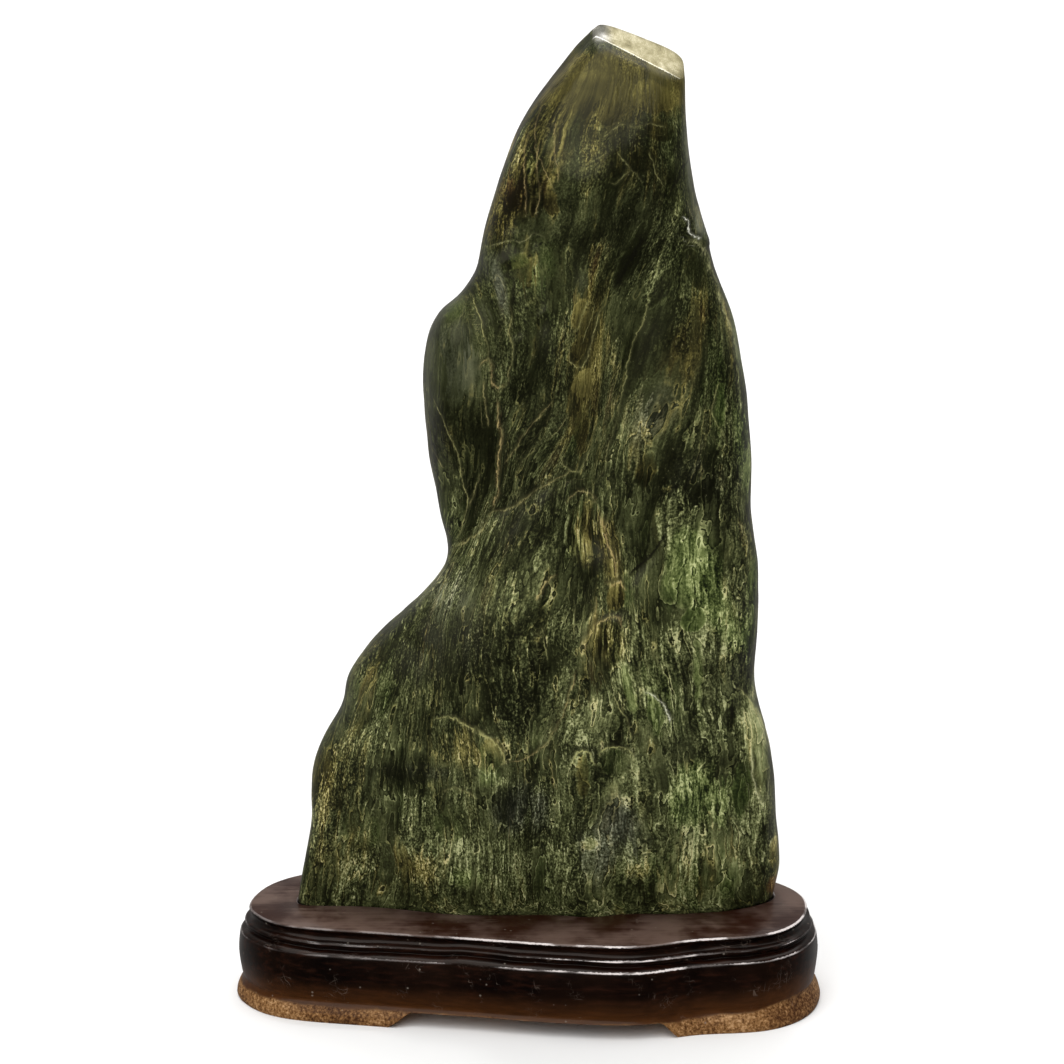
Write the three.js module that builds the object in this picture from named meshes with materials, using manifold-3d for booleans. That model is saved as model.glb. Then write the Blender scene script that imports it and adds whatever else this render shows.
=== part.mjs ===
// Scholar's rock: a polished green stone let into a carved hardwood stand.
// Millimetres, +Z up, front towards -Y. The origin is under the middle of the object's box, on the surface
// that the stand's feet rest on.
import Module from "manifold-3d";
import * as THREE from "three";
import { mergeVertices } from "three/addons/utils/BufferGeometryUtils.js";

const wasm = await Module();
wasm.setup();

// ---- Driving dimensions ----

const STAND_TOP = 47.5; // height of the stand's plate
const SEAT_DEPTH = 4; // how far the stone is let into the plate
const SEAT_GAP = 0.35; // clearance between the stone and its seat, all round and below
const FOOT_HEIGHT = 8; // clear height under the middle of the stand
const WAIST_HEIGHT = 10.4; // the feet flare out below this
const RIGHT_FOOT_SPREAD = 4; // how much further the right foot reaches at its front corner
const RIGHT_FOOT_CORNER = new THREE.Vector3(0.25, -1, 0).normalize(); // the way that corner faces
const STAND_SEGMENTS = 72;
const MEAN_RADIUS = 100; // radius of the round on which the stand's moulding is turned

const STONE_SIDES = 60;
const STONE_RINGS = 54;
const STONE_BASE = STAND_TOP - SEAT_DEPTH + SEAT_GAP;
const SEAT_RIM = STAND_TOP + 1; // below this height the stone's section doesn't change

// Plate outline seen from above, anticlockwise, with the belly of the front edge right of the middle.
const PLATE_OUTLINE = [
  [143, 0], [134, 24], [108, 44], [55, 58], [0, 64], [-60, 59], [-108, 46], [-132, 29],
  [-142, 4], [-139, -17], [-120, -35], [-75, -45], [-30, -53], [12, -61], [52, -64.5], [84, -55],
  [118, -48], [137, -29],
];

// Moulding of the stand, from the feet up to the plate's rim: [distance out from the rim, height].
const MOULDING = [
  [7, 0], [7.6, 2], [6.6, 5.6], [4, WAIST_HEIGHT], [4.8, 13.6], [6.2, 24], [5.6, 33], [4.5, 36],
  [1.2, 37.6], [2.4, 38.8], [2.7, 40.8], [-0.3, 42.2], [-0.9, 44.6], [0.4, 46.4], [-0.8, STAND_TOP],
];

// Ends of the two feet: the space between them is narrower at its top.
const FOOT_GAP_AT_FLOOR = [-70, 75];
const FOOT_GAP_AT_TOP = [-59, 67];

// Profiles of the stone as [height, place] pairs: its two sides seen from the front, and its front and back
// seen from the side.
const LEFT_SIDE = [
  [43.6, -119], [48, -118.8], [64, -116.5], [92, -111], [118, -110], [136, -103], [152, -94], [168, -91.6],
  [186.5, -77], [211.5, -51.5], [224.5, -41.2], [231.5, -40], [251.5, -44.2], [286, -50.2], [329, -51.4],
  [348, -47.2], [360, -36.5], [371, -26.4], [388, -23], [408, -17.4], [431, -9.4], [450, -0.5], [465, 11],
  [477, 21.5], [486, 28], [489, 33],
];
const RIGHT_SIDE = [
  [43.6, 126.4], [48, 127], [68, 130.4], [92, 128], [124, 124.4], [146, 119], [160, 115.5], [197.5, 117],
  [223.5, 115.8], [247.5, 112.4], [289, 111], [331, 106], [353, 101], [371, 93.4], [397, 85.8], [431, 79.4],
  [458, 76.8], [472.3, 76.4],
];
const FRONT = [
  [43.6, -18], [84, -26], [132, -33], [181, -35], [226, -31], [262, -27], [300, -29], [345, -29], [385, -25],
  [421, -25], [451, -21], [469, -15], [482, -8],
];
const BACK = [
  [43.6, 41], [86, 46], [132, 49], [176, 45], [216, 39], [256, 41], [300, 44], [341, 41], [380, 34], [416, 34],
  [451, 30], [482, 23],
];
const LEFT_EDGE_DEPTH = [
  [43.6, 0], [110, 4], [160, 12], [215, 4], [300, 12], [360, 6], [420, 11], [489, 8],
];
const RIGHT_EDGE_DEPTH = [
  [43.6, 9], [110, 5], [170, 11], [240, 4], [320, 9], [380, 13], [430, 7], [472.3, 8],
];

const SECTION_ROUNDNESS = 0.8; // 1 is an ellipse, less is boxier
const FACET_ROUNDNESS = 0.52; // the same at the summit, where the section has corners
const FACET_RISE = 0.386; // rise of the flat summit facet towards the back, per mm
const FACET_START = 0.86; // share of the height above which the rings lean into the facet
const RING_SPACING = 0.2; // how far corners move from the tips of a ring to its long sides
const RELIEF_FULL = 0.5; // how squarely the skin faces front or back where its relief is full
const FOLD_SAMPLES = 20;
const FOLD_FADE = 0.15; // share of a fold's length over which it dies away at each end

// ---- Relief of the stone: folds, lobes and hollows ----

// A fold follows a line of [across, height] points; a positive lift is a ridge and a negative one a groove.
const FRONT_FOLDS = [
  { line: [[-13, 396], [-12, 374], [-10, 352], [-6, 330]], width: 8, lift: 3.5 }, // rib under the left notch
  { line: [[4, 402], [6, 374], [8, 346]], width: 8, lift: -5 }, // dark groove beside the rib
  { line: [[-44, 228], [-26, 243], [-9, 261], [12, 284], [28, 303]], width: 6, lift: -5 }, // notch crease
  { line: [[-16, 338], [-13, 312], [-13, 280], [-17, 258]], width: 8, lift: -4 }, // valley by the left lobe
  { line: [[35, 446], [30, 370], [28, 314], [26, 276]], width: 15, lift: 4 }, // spine
  { line: [[60, 400], [55, 349], [41, 305], [33, 274]], width: 8, lift: -5.5 }, // flute right of the spine
  { line: [[78, 402], [91, 363], [97, 314], [92, 262]], width: 13, lift: 4.5 }, // right flange
  { line: [[66, 408], [75, 403], [84, 392]], width: 5, lift: 4 }, // lip of the right shoulder
  { line: [[17, 256], [25, 265], [36, 266], [45, 259]], width: 5, lift: 3.5 }, // arched hood
  { line: [[-38, 232], [-62, 206], [-86, 180]], width: 9, lift: 4 }, // edge of the left flank
  { line: [[20, 216], [15, 130], [10, 60]], width: 8, lift: -4 }, // lower flute left of the middle
  { line: [[52, 216], [61, 130], [66, 60]], width: 12, lift: 3.5 }, // lower ridge right of the middle
  { line: [[80, 196], [86, 130], [88, 56]], width: 8, lift: -4 }, // lower flute at the right
  { line: [[105, 170], [109, 110], [112, 60]], width: 5, lift: -4.5 }, // crease behind the right toe
  { line: [[-50, 156], [-36, 151], [-24, 139], [-12, 128]], width: 5, lift: -3 }, // scalloped step
  { line: [[-92, 140], [-84, 100], [-88, 58]], width: 9, lift: -3.5 }, // gully of the left foot
];
const BACK_FOLDS = [
  { line: [[52, 452], [44, 390], [50, 320], [40, 260]], width: 14, lift: 5 }, // spine
  { line: [[12, 440], [14, 380], [2, 320], [8, 262]], width: 9, lift: -6 }, // flute left of the spine
  { line: [[82, 380], [78, 320], [88, 250], [80, 200]], width: 9, lift: -5.5 }, // flute right of the spine
  { line: [[-44, 228], [-20, 236], [10, 222], [44, 226]], width: 8, lift: -5 }, // cross crease
  { line: [[-70, 190], [-52, 130], [-58, 60]], width: 13, lift: 5 }, // left buttress
  { line: [[-22, 200], [-14, 130], [-24, 60]], width: 10, lift: -6 }, // gully
  { line: [[24, 208], [34, 130], [26, 60]], width: 14, lift: 5 }, // middle buttress
  { line: [[70, 190], [76, 120], [70, 60]], width: 9, lift: -5 }, // right gully
];

// A lobe is an oval swelling, or a hollow where its lift is negative.
const FRONT_LOBES = [
  { centre: [-33, 322], reach: [24, 66], lift: 7 }, // left lobe
  { centre: [-66, 150], reach: [52, 64], lift: 5 }, // belly of the left flank
  { centre: [-84, 46], reach: [56, 70], lift: -10 }, // undercut left foot
  { centre: [32, 46], reach: [20, 30], lift: 5 }, // toe in the middle
  { centre: [90, 46], reach: [40, 50], lift: 5 }, // right foot
  { centre: [60, 176], reach: [54, 60], lift: 5 }, // belly of the lower right
  { centre: [33, 250], reach: [15, 16], lift: -5 }, // niche under the hood
  { centre: [119, 112], reach: [13, 50], lift: 4 }, // right toe
  { centre: [64, 300], reach: [24, 34], lift: -4 }, // dished face beside the flange
  { centre: [22, 420], reach: [34, 36], lift: 4 }, // brow
];
const BACK_LOBES = [
  { centre: [-30, 310], reach: [28, 60], lift: 6 },
  { centre: [60, 290], reach: [40, 60], lift: 6 },
  { centre: [-80, 110], reach: [44, 60], lift: -8 },
  { centre: [100, 100], reach: [40, 60], lift: -7 },
  { centre: [30, 420], reach: [30, 34], lift: -5 },
];

// ---- Small helpers ----

// A smooth function through [height, value] pairs.
function profile(pairs) {
  const heights = pairs.map((pair) => pair[0]);
  const values = pairs.map((pair) => pair[1]);
  const interpolant = new THREE.CubicInterpolant(heights, values, 1, new Float32Array(1));
  return (height) => interpolant.evaluate(height)[0];
}

function lastHeight(pairs) {
  return pairs[pairs.length - 1][0];
}

function signedPower(value, exponent) {
  return Math.sign(value) * Math.abs(value) ** exponent;
}

// A closed geometry as a solid that can be joined and cut.
function toSolid(geometry) {
  const bare = geometry.clone();
  bare.deleteAttribute("normal");
  bare.deleteAttribute("uv");
  const merged = mergeVertices(bare, 1e-3);
  return new wasm.Manifold(
    new wasm.Mesh({
      numProp: 3,
      vertProperties: new Float32Array(merged.attributes.position.array),
      triVerts: new Uint32Array(merged.index.array),
    }),
  );
}

function toMesh(name, solid, material) {
  const cut = solid.getMesh();
  const geometry = new THREE.BufferGeometry();
  geometry.setAttribute("position", new THREE.BufferAttribute(new Float32Array(cut.vertProperties), 3));
  geometry.setIndex(new THREE.BufferAttribute(new Uint32Array(cut.triVerts), 1));
  geometry.computeVertexNormals();
  const mesh = new THREE.Mesh(geometry, material);
  mesh.name = name;
  return mesh;
}

// ---- Relief ----

function foldForm({ line, width, lift }) {
  const points = line.map(([across, height]) => new THREE.Vector3(across, height, 0));
  const samples = new THREE.CatmullRomCurve3(points, false, "centripetal").getPoints(FOLD_SAMPLES);
  return (across, height) => {
    const distances = samples.map((sample) => Math.hypot(sample.x - across, sample.y - height));
    const nearest = Math.min(...distances);
    const share = distances.indexOf(nearest) / FOLD_SAMPLES;
    const fade = THREE.MathUtils.smoothstep(Math.min(share, 1 - share), -FOLD_FADE, FOLD_FADE);
    return lift * fade * Math.exp(-((nearest / width) ** 2));
  };
}

function lobeForm({ centre, reach, lift }) {
  return (across, height) => {
    const spread = Math.hypot((across - centre[0]) / reach[0], (height - centre[1]) / reach[1]);
    return lift * Math.max(0, 1 - spread ** 2) ** 2;
  };
}

const frontForms = [...FRONT_FOLDS.map(foldForm), ...FRONT_LOBES.map(lobeForm)];
const backForms = [...BACK_FOLDS.map(foldForm), ...BACK_LOBES.map(lobeForm)];

// How far the skin stands out of the plain section. The relief dies away at the two sides and at the facet.
function relief(angle, across, height, level) {
  const facing = Math.sin(angle);
  const forms = facing < 0 ? frontForms : backForms;
  const total = forms.reduce((sum, form) => sum + form(across, Math.max(height, SEAT_RIM)), 0);
  const towardsFace = THREE.MathUtils.smoothstep(Math.abs(facing), 0, RELIEF_FULL);
  const belowFacet = 1 - THREE.MathUtils.smoothstep(level, FACET_START, 1);
  return total * towardsFace * belowFacet;
}

// ---- Stone ----

const leftSide = profile(LEFT_SIDE);
const rightSide = profile(RIGHT_SIDE);
const frontFace = profile(FRONT);
const backFace = profile(BACK);
const leftEdge = profile(LEFT_EDGE_DEPTH);
const rightEdge = profile(RIGHT_EDGE_DEPTH);

// The ring of the skin at a level from 0, the base, to 1, the rim of the summit facet.
function ringAt(level) {
  const leftHeight = THREE.MathUtils.lerp(STONE_BASE, lastHeight(LEFT_SIDE), level);
  const rightHeight = THREE.MathUtils.lerp(STONE_BASE, lastHeight(RIGHT_SIDE), level);
  const middleHeight = (leftHeight + rightHeight) / 2;
  return {
    level,
    left: new THREE.Vector3(leftSide(leftHeight), leftEdge(leftHeight), leftHeight),
    right: new THREE.Vector3(rightSide(rightHeight), rightEdge(rightHeight), rightHeight),
    front: frontFace(middleHeight),
    back: backFace(middleHeight),
    rise: FACET_RISE * THREE.MathUtils.smoothstep(level, FACET_START, 1),
    roundness: THREE.MathUtils.lerp(
      SECTION_ROUNDNESS,
      FACET_ROUNDNESS,
      THREE.MathUtils.smoothstep(level, FACET_START, 1),
    ),
  };
}

// All rings from the base up. The lowest is the one at the seat's rim, let down to the base.
function stoneRings() {
  const seatLevel = (SEAT_RIM - STONE_BASE) / (lastHeight(LEFT_SIDE) - STONE_BASE);
  const base = ringAt(seatLevel);
  base.left.z = STONE_BASE;
  base.right.z = STONE_BASE;
  const upper = Array.from({ length: STONE_RINGS }, (_, index) =>
    ringAt(THREE.MathUtils.lerp(seatLevel, 1, index / (STONE_RINGS - 1))),
  );
  return [base, ...upper];
}

// A point of a ring; reach is 1 on the skin and 0 in the middle of an end face.
function ringPoint(ring, turn, reach) {
  const angle = turn + RING_SPACING * Math.sin(2 * turn);
  const middle = new THREE.Vector3().addVectors(ring.left, ring.right).multiplyScalar(0.5);
  const halfWidth = (ring.right.x - ring.left.x) / 2;
  const halfDepth = Math.abs((Math.sin(angle) < 0 ? ring.front : ring.back) - middle.y);
  const unitX = signedPower(Math.cos(angle), ring.roundness);
  const unitY = signedPower(Math.sin(angle), ring.roundness);
  const point = new THREE.Vector3().lerpVectors(ring.left, ring.right, (unitX + 1) / 2);
  point.y += unitY * halfDepth;
  const outward = new THREE.Vector3(unitX / halfWidth, unitY / halfDepth, 0).normalize();
  point.addScaledVector(outward, relief(angle, point.x, point.z, ring.level));
  point.z += ring.rise * (point.y - middle.y);
  return middle.lerp(point, reach);
}

function makeStone(rings) {
  const geometry = new THREE.CylinderGeometry(1, 1, 1, STONE_SIDES, STONE_RINGS);
  geometry.rotateX(Math.PI / 2);
  const position = geometry.attributes.position;
  for (let index = 0; index < position.count; index += 1) {
    const across = position.getX(index);
    const along = position.getY(index);
    const ring = rings[Math.round((position.getZ(index) + 0.5) * STONE_RINGS)];
    const point = ringPoint(ring, Math.atan2(along, across), Math.hypot(across, along));
    position.setXYZ(index, point.x, point.y, point.z);
  }
  return toSolid(geometry);
}

// ---- Stand ----

const plateCurve = new THREE.CatmullRomCurve3(
  PLATE_OUTLINE.map(([across, along]) => new THREE.Vector3(across, along, 0)),
  true,
);

// A point at a distance outside the plate's rim; share runs once round the plate.
function outsideRim(share, distance) {
  const tangent = plateCurve.getTangentAt(share);
  const outward = new THREE.Vector3(tangent.y, -tangent.x, 0);
  return plateCurve.getPointAt(share).addScaledVector(outward, distance);
}

// Extra reach of the right foot, greatest where its side faces the front right corner.
function rightFootSpread(share) {
  const outward = outsideRim(share, 1).sub(outsideRim(share, 0));
  const facing = Math.max(0, outward.dot(RIGHT_FOOT_CORNER));
  const atRight = THREE.MathUtils.smoothstep(outsideRim(share, 0).x, 0, FOOT_GAP_AT_FLOOR[1]);
  return RIGHT_FOOT_SPREAD * facing * atRight;
}

// The moulding is turned on a round of mean radius, which is then led round the plate's outline.
function makeBlock() {
  const turned = MOULDING.map(([out, height]) => new THREE.Vector2(MEAN_RADIUS + out, height));
  const section = [new THREE.Vector2(0, 0), ...turned, new THREE.Vector2(0, STAND_TOP)];
  const geometry = new THREE.LatheGeometry(section, STAND_SEGMENTS);
  geometry.rotateX(Math.PI / 2);
  const position = geometry.attributes.position;
  for (let index = 0; index < position.count; index += 1) {
    const radius = Math.hypot(position.getX(index), position.getY(index));
    if (radius > MEAN_RADIUS / 2) {
      const share = (Math.atan2(position.getY(index), position.getX(index)) / (2 * Math.PI) + 1) % 1;
      const spread = position.getZ(index) < WAIST_HEIGHT ? rightFootSpread(share) : 0;
      const point = outsideRim(share, radius - MEAN_RADIUS + spread);
      position.setXY(index, point.x, point.y);
    }
  }
  return toSolid(geometry);
}

// The seat: the stone's lowest ring, grown by the clearance.
function makeSeat(base) {
  const outline = Array.from({ length: STONE_SIDES }, (_, index) =>
    ringPoint(base, (index / STONE_SIDES) * 2 * Math.PI, 1),
  );
  const grown = outline.map((point, index) => {
    const along = outline[(index + 1) % STONE_SIDES].clone().sub(outline.at(index - 1)).normalize();
    return new THREE.Vector2(point.x + along.y * SEAT_GAP, point.y - along.x * SEAT_GAP);
  });
  const geometry = new THREE.ExtrudeGeometry(new THREE.Shape(grown), {
    depth: 2 * SEAT_DEPTH,
    bevelEnabled: false,
  });
  geometry.translate(0, 0, STAND_TOP - SEAT_DEPTH);
  return toSolid(geometry);
}

// The space between the two feet, cut right through from front to back.
function makeFootGap() {
  const [floorLeft, floorRight] = FOOT_GAP_AT_FLOOR;
  const [topLeft, topRight] = FOOT_GAP_AT_TOP;
  const opening = new THREE.Shape([
    new THREE.Vector2(floorLeft, -1),
    new THREE.Vector2(floorRight, -1),
    new THREE.Vector2(floorRight, 0),
    new THREE.Vector2(topRight, FOOT_HEIGHT),
    new THREE.Vector2(topLeft, FOOT_HEIGHT),
    new THREE.Vector2(floorLeft, 0),
  ]);
  const geometry = new THREE.ExtrudeGeometry(opening, { depth: 2 * MEAN_RADIUS, bevelEnabled: false });
  geometry.rotateX(Math.PI / 2);
  geometry.translate(0, MEAN_RADIUS, 0);
  return toSolid(geometry);
}

// ---- Assembly ----

const jade = new THREE.MeshStandardMaterial({ color: 0x3d3f29, roughness: 0.3, metalness: 0 });
const darkWood = new THREE.MeshStandardMaterial({ color: 0x2b160e, roughness: 0.35, metalness: 0 });

const rings = stoneRings();
const block = makeBlock().subtract(makeSeat(rings[0])).subtract(makeFootGap());

const group = new THREE.Group();
group.add(toMesh("stone", makeStone(rings), jade));
group.add(toMesh("stand", block, darkWood));

// The origin goes under the middle of the object's box.
const middle = new THREE.Box3().setFromObject(group).getCenter(new THREE.Vector3());
group.position.set(-middle.x, -middle.y, 0);

export default group;
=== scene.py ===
"""A polished green scholar's rock standing in the seat of a carved, lacquered wooden stand.

Lengths are in millimetres while a shape is worked out, and in metres in every finished mesh.
X runs along the stand, Y from the front to the back, and Z up from the floor.
"""

import logging
import math
import random
from dataclasses import dataclass
from enum import Enum
from typing import Callable, Sequence, Union

import bmesh
import bpy
import numpy as np
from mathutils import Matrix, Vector, noise


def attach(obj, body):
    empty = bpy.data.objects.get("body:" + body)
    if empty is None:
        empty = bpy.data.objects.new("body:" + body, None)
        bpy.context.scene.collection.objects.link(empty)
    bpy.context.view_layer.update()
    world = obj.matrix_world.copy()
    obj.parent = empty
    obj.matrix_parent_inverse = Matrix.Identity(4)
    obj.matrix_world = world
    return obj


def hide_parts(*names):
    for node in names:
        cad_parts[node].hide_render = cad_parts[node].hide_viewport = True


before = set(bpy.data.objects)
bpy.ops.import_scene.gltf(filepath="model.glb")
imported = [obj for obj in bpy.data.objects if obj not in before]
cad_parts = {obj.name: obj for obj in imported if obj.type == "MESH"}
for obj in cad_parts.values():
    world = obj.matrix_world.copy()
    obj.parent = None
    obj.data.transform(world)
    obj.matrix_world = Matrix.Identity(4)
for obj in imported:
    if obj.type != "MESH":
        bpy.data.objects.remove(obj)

LOG = logging.getLogger("scholar_rock")
MM = 0.001
# The greatest distance from a mark that is stored, in widths of the mark.
FAR = 9.0
Array = np.ndarray
Point = tuple[float, float]


# ---- What the skin of the stone shows, each thing with its own name and place ----


class Hue(Enum):
    """A way in which a soft zone of the stone departs from its common green, and its column."""

    TONE = 0
    OLIVE = 1
    FRESH = 2
    # PALE carries only painted glints, which the facet turns near white.
    PALE = 3
    SMOOTH = 4
    SPECKLE = 5
    STRAND = 6
    RUST = 7
    GREY = 8


@dataclass(frozen=True)
class Mark:
    """A narrow mark along a line of (across, height) points.

    It is a dark crack, a dark line of painted shade down a groove, or a fold of the skin, whose strength
    is how far it rises or sinks.
    """

    name: str
    width: float
    strength: float
    line: tuple[Point, ...]


@dataclass(frozen=True)
class Vein(Mark):
    """A thin light seam, in one of three layers, tan where it is warm and silver where it is cold."""

    layer: int
    warmth: float


@dataclass(frozen=True)
class Patch:
    """A round place on the skin, leaning sideways by lean for each step up."""

    name: str
    centre: Point
    reach: Point
    lean: float = 0.0
    tone: float = 0.0
    olive: float = 0.0
    fresh: float = 0.0
    smooth: float = 0.0

    def gaps(self, across: Array, height: Array) -> tuple[Array, Array]:
        """How far points lie from the middle, across and up, in shares of the reach."""
        rise = height - self.centre[1]
        return (across - self.centre[0] - self.lean * rise) / self.reach[0], rise / self.reach[1]


@dataclass(frozen=True)
class Lens(Patch):
    """A smooth blade or pool with a clear edge."""


@dataclass(frozen=True)
class Zone(Patch):
    """A soft patch in which some hues grow or fade."""

    pale: float = 0.0
    speckle: float = 0.0
    strand: float = 0.0
    rust: float = 0.0
    grey: float = 0.0

    def amounts(self) -> list[float]:
        """What it adds to each hue."""
        return [getattr(self, hue.name.lower()) for hue in Hue]


VEINS: tuple[Vein, ...] = (
    Vein("lobe_seam_upper", 0.45, 0.75, ((-30, 367), (-27, 363), (-24, 356), (-21, 346), (-20, 339),
        (-20, 332)), 0, 0.2),
    Vein("lobe_knot", 0.85, 0.65, ((-24, 329), (-23, 334), (-20, 335), (-19, 330), (-18, 324),
        (-15, 320), (-11, 323)), 1, 0.7),
    Vein("lobe_seam_right", 0.52, 0.65, ((-10, 364), (-8, 356), (-10, 348), (-8, 342), (-9, 333),
        (-11, 323), (-14, 320), (-16, 316)), 0, 0.3),
    Vein("lobe_seam_joined", 0.85, 0.9, ((-16, 316), (-15, 307), (-14, 299), (-14, 290), (-15, 281),
        (-15, 273), (-16, 265), (-19, 256)), 0, 0.75),
    Vein("lobe_seam_inner", 0.39, 0.7, ((-22, 326), (-22, 319), (-21, 310), (-20, 300)), 2, 0.4),
    Vein("lobe_seam_left", 0.45, 0.6, ((-49, 316), (-43, 306), (-39, 296), (-35, 286), (-33, 271),
        (-30, 264), (-32, 252), (-36, 240)), 0, 0.2),
    Vein("lobe_edge", 0.39, 0.6, ((-49, 286), (-46, 282), (-43, 278)), 1, 0.4),
    Vein("lobe_fork", 0.45, 0.7, ((-24, 277), (-27, 268), (-30, 259)), 1, 0.3),
    Vein("notch_seam", 0.59, 0.55, ((-39, 232), (-36, 238), (-28, 244), (-23, 248), (-19, 256),
        (-12, 258), (-3, 264), (6, 271), (14, 276), (20, 280), (25, 281)), 1, 0.4),
    Vein("centre_long_seam", 0.52, 0.5, ((59, 371), (58, 362), (57, 356), (54, 349), (50, 342),
        (48, 326), (44, 314), (42, 303), (39, 296), (38, 285), (35, 278), (31, 273)), 0, 0.1),
    Vein("cross_seam_a", 0.52, 0.45, ((-13, 281), (-6, 291), (0, 301), (7, 310), (12, 316)), 2, 0.5),
    Vein("cross_seam_b", 0.45, 0.4, ((7, 292), (14, 301), (19, 308)), 0, 0.3),
    Vein("cross_seam_c", 0.39, 0.35, ((-8, 274), (-3, 284), (7, 296)), 0, 0.2),
    Vein("olive_outline", 0.65, 0.55, ((18, 345), (24, 351), (26, 358), (28, 365)), 1, 0.0),
    Vein("olive_outline_low", 0.59, 0.6, ((19, 344), (19, 340), (20, 335), (24, 332), (28, 337),
        (30, 346), (32, 354), (36, 362)), 1, 0.2),
    Vein("cup_seam", 0.65, 0.6, ((15, 289), (16, 283), (20, 280), (24, 280), (27, 284),
        (30, 293)), 2, 0.0),
    Vein("hood", 0.78, 0.6, ((18, 263), (20, 267), (25, 271), (30, 269), (33, 263)), 1, 0.5),
    Vein("tan_runnel", 0.98, 0.65, ((35, 259), (37, 253), (39, 244), (42, 239), (42, 230),
        (43, 225)), 0, 0.8),
    Vein("tan_hook", 0.72, 0.9, ((37, 224), (41, 223), (45, 226), (48, 221)), 2, 0.7),
    Vein("bright_edge_right", 1.04, 0.6, ((74, 390), (80, 392), (85, 387), (89, 375), (96, 357),
        (101, 344), (104, 330)), 1, -0.2),
    Vein("flange_loop", 0.45, 0.6, ((94, 324), (91, 318), (89, 310), (92, 301), (97, 291)), 0, 0.0),
    # A white painted highlight along the right shoulder's lip, drawn as a cold seam.
    Vein("shoulder_lip", 0.52, 0.9, ((73, 404), (76, 402), (77, 396), (79, 394), (83, 392)), 2, -1.0),
    Vein("head_ring", 0.52, 0.45, ((42, 436), (45, 432), (48, 427), (44, 423), (41, 420),
        (38, 422)), 0, 0.0),
    Vein("head_ring_spur", 0.45, 0.4, ((48, 427), (51, 424), (54, 420)), 1, 0.1),
    Vein("craze_a", 0.45, 0.4, ((22, 425), (28, 430), (34, 433), (38, 436)), 1, 0.1),
    Vein("craze_b", 0.45, 0.35, ((34, 441), (40, 446), (44, 448), (51, 446), (58, 448),
        (67, 446)), 2, 0.2),
    Vein("craze_c", 0.45, 0.35, ((57, 436), (59, 431), (61, 424), (65, 418)), 1, 0.0),
    Vein("notch_arc", 0.52, 0.35, ((-20, 384), (-18, 389), (-11, 392), (-4, 391), (2, 395),
        (8, 393)), 0, -0.2),
    Vein("hair_a", 0.39, 0.5, ((13, 450), (12, 443), (12, 436), (14, 428), (14, 420)), 0, 0.8),
    Vein("hair_b", 0.39, 0.5, ((7, 458), (3, 447), (3, 436), (7, 428), (10, 421), (13, 414)), 1, 0.7),
    Vein("hair_c", 0.39, 0.6, ((0, 444), (-2, 435), (-2, 427), (-2, 414), (-1, 403)), 0, 0.8),
    Vein("hair_d", 0.39, 0.5, ((5, 440), (4, 431), (4, 421), (5, 412), (3, 402)), 2, 0.7),
    Vein("scallop_a", 0.72, 0.9, ((-49, 154), (-42, 156), (-37, 156), (-31, 152), (-24, 148),
        (-20, 146), (-14, 140), (-12, 133), (-15, 129)), 0, 0.2),
    Vein("scallop_b", 0.65, 0.6, ((-44, 116), (-37, 118), (-30, 116), (-26, 113)), 2, 0.3),
    Vein("long_loop", 0.59, 0.65, ((-12, 132), (-5, 134), (2, 137), (10, 143), (16, 154), (19, 166),
        (22, 178), (24, 182)), 1, 0.7),
    Vein("second_hood", 0.85, 0.65, ((26, 189), (27, 195), (31, 200), (34, 206), (38, 208), (44, 208),
        (47, 202)), 0, 0.7),
    Vein("dome_gold", 0.85, 0.9, ((21, 132), (23, 137), (26, 140), (30, 139), (33, 131)), 1, 0.0),
    Vein("dome_green", 0.59, 0.8, ((34, 136), (37, 142), (42, 143), (50, 140), (52, 134)), 0, 0.0),
    Vein("stem_pair", 0.52, 0.8, ((42, 168), (45, 162), (48, 156), (51, 145)), 1, 0.0),
    Vein("pale_arc", 0.59, 0.9, ((56, 172), (59, 171), (62, 169), (67, 163), (71, 153)), 2, -0.6),
    Vein("toe_crest", 0.72, 0.9, ((104, 166), (111, 158), (116, 148), (120, 138)), 1, -0.1),
    Vein("toe_loop", 0.52, 0.7, ((112, 136), (113, 120), (117, 104), (121, 106), (122, 119)), 2, -0.3),
    Vein("mid_thread_a", 0.39, 0.6, ((6, 203), (8, 193), (9, 185)), 0, 0.0),
    Vein("mid_thread_b", 0.39, 0.6, ((22, 216), (22, 206), (22, 195)), 2, 0.0),
    Vein("gold_slant", 0.72, 0.8, ((13, 229), (10, 226), (7, 221), (3, 215)), 0, 0.6),
    Vein("flank_thread", 0.52, 0.7, ((-40, 227), (-41, 221), (-42, 214), (-44, 208)), 1, 0.0),
)
CRACKS: tuple[Mark, ...] = (
    Mark("long_crack", 0.7, 0.9, ((48, 228), (53, 232), (59, 237), (64, 243), (68, 250))),
    Mark("short_crack", 0.6, 0.7, ((27, 232), (32, 236), (36, 240))),
    Mark("hood_gap", 0.8, 0.8, ((33, 261), (34, 250), (34, 239), (33, 228))),
    Mark("head_crack", 0.8, 0.7, ((78, 430), (74, 426), (71, 421), (67, 416))),
    Mark("base_crack", 0.7, 0.7, ((54, 73), (51, 68), (48, 62))),
    Mark("flute_core", 1.4, 0.8, ((54, 396), (50, 388), (45, 380), (41, 369))),
    # The next two are painted shade: dark lines down the groove where the skin steps back beside the
    # rib.
    Mark("notch_core", 1.2, 0.8, ((-14, 389), (-10, 378), (-8, 368), (-9, 355))),
    Mark("lobe_core", 0.9, 0.6, ((-15, 364), (-14, 354), (-16, 342))),
)
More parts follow.
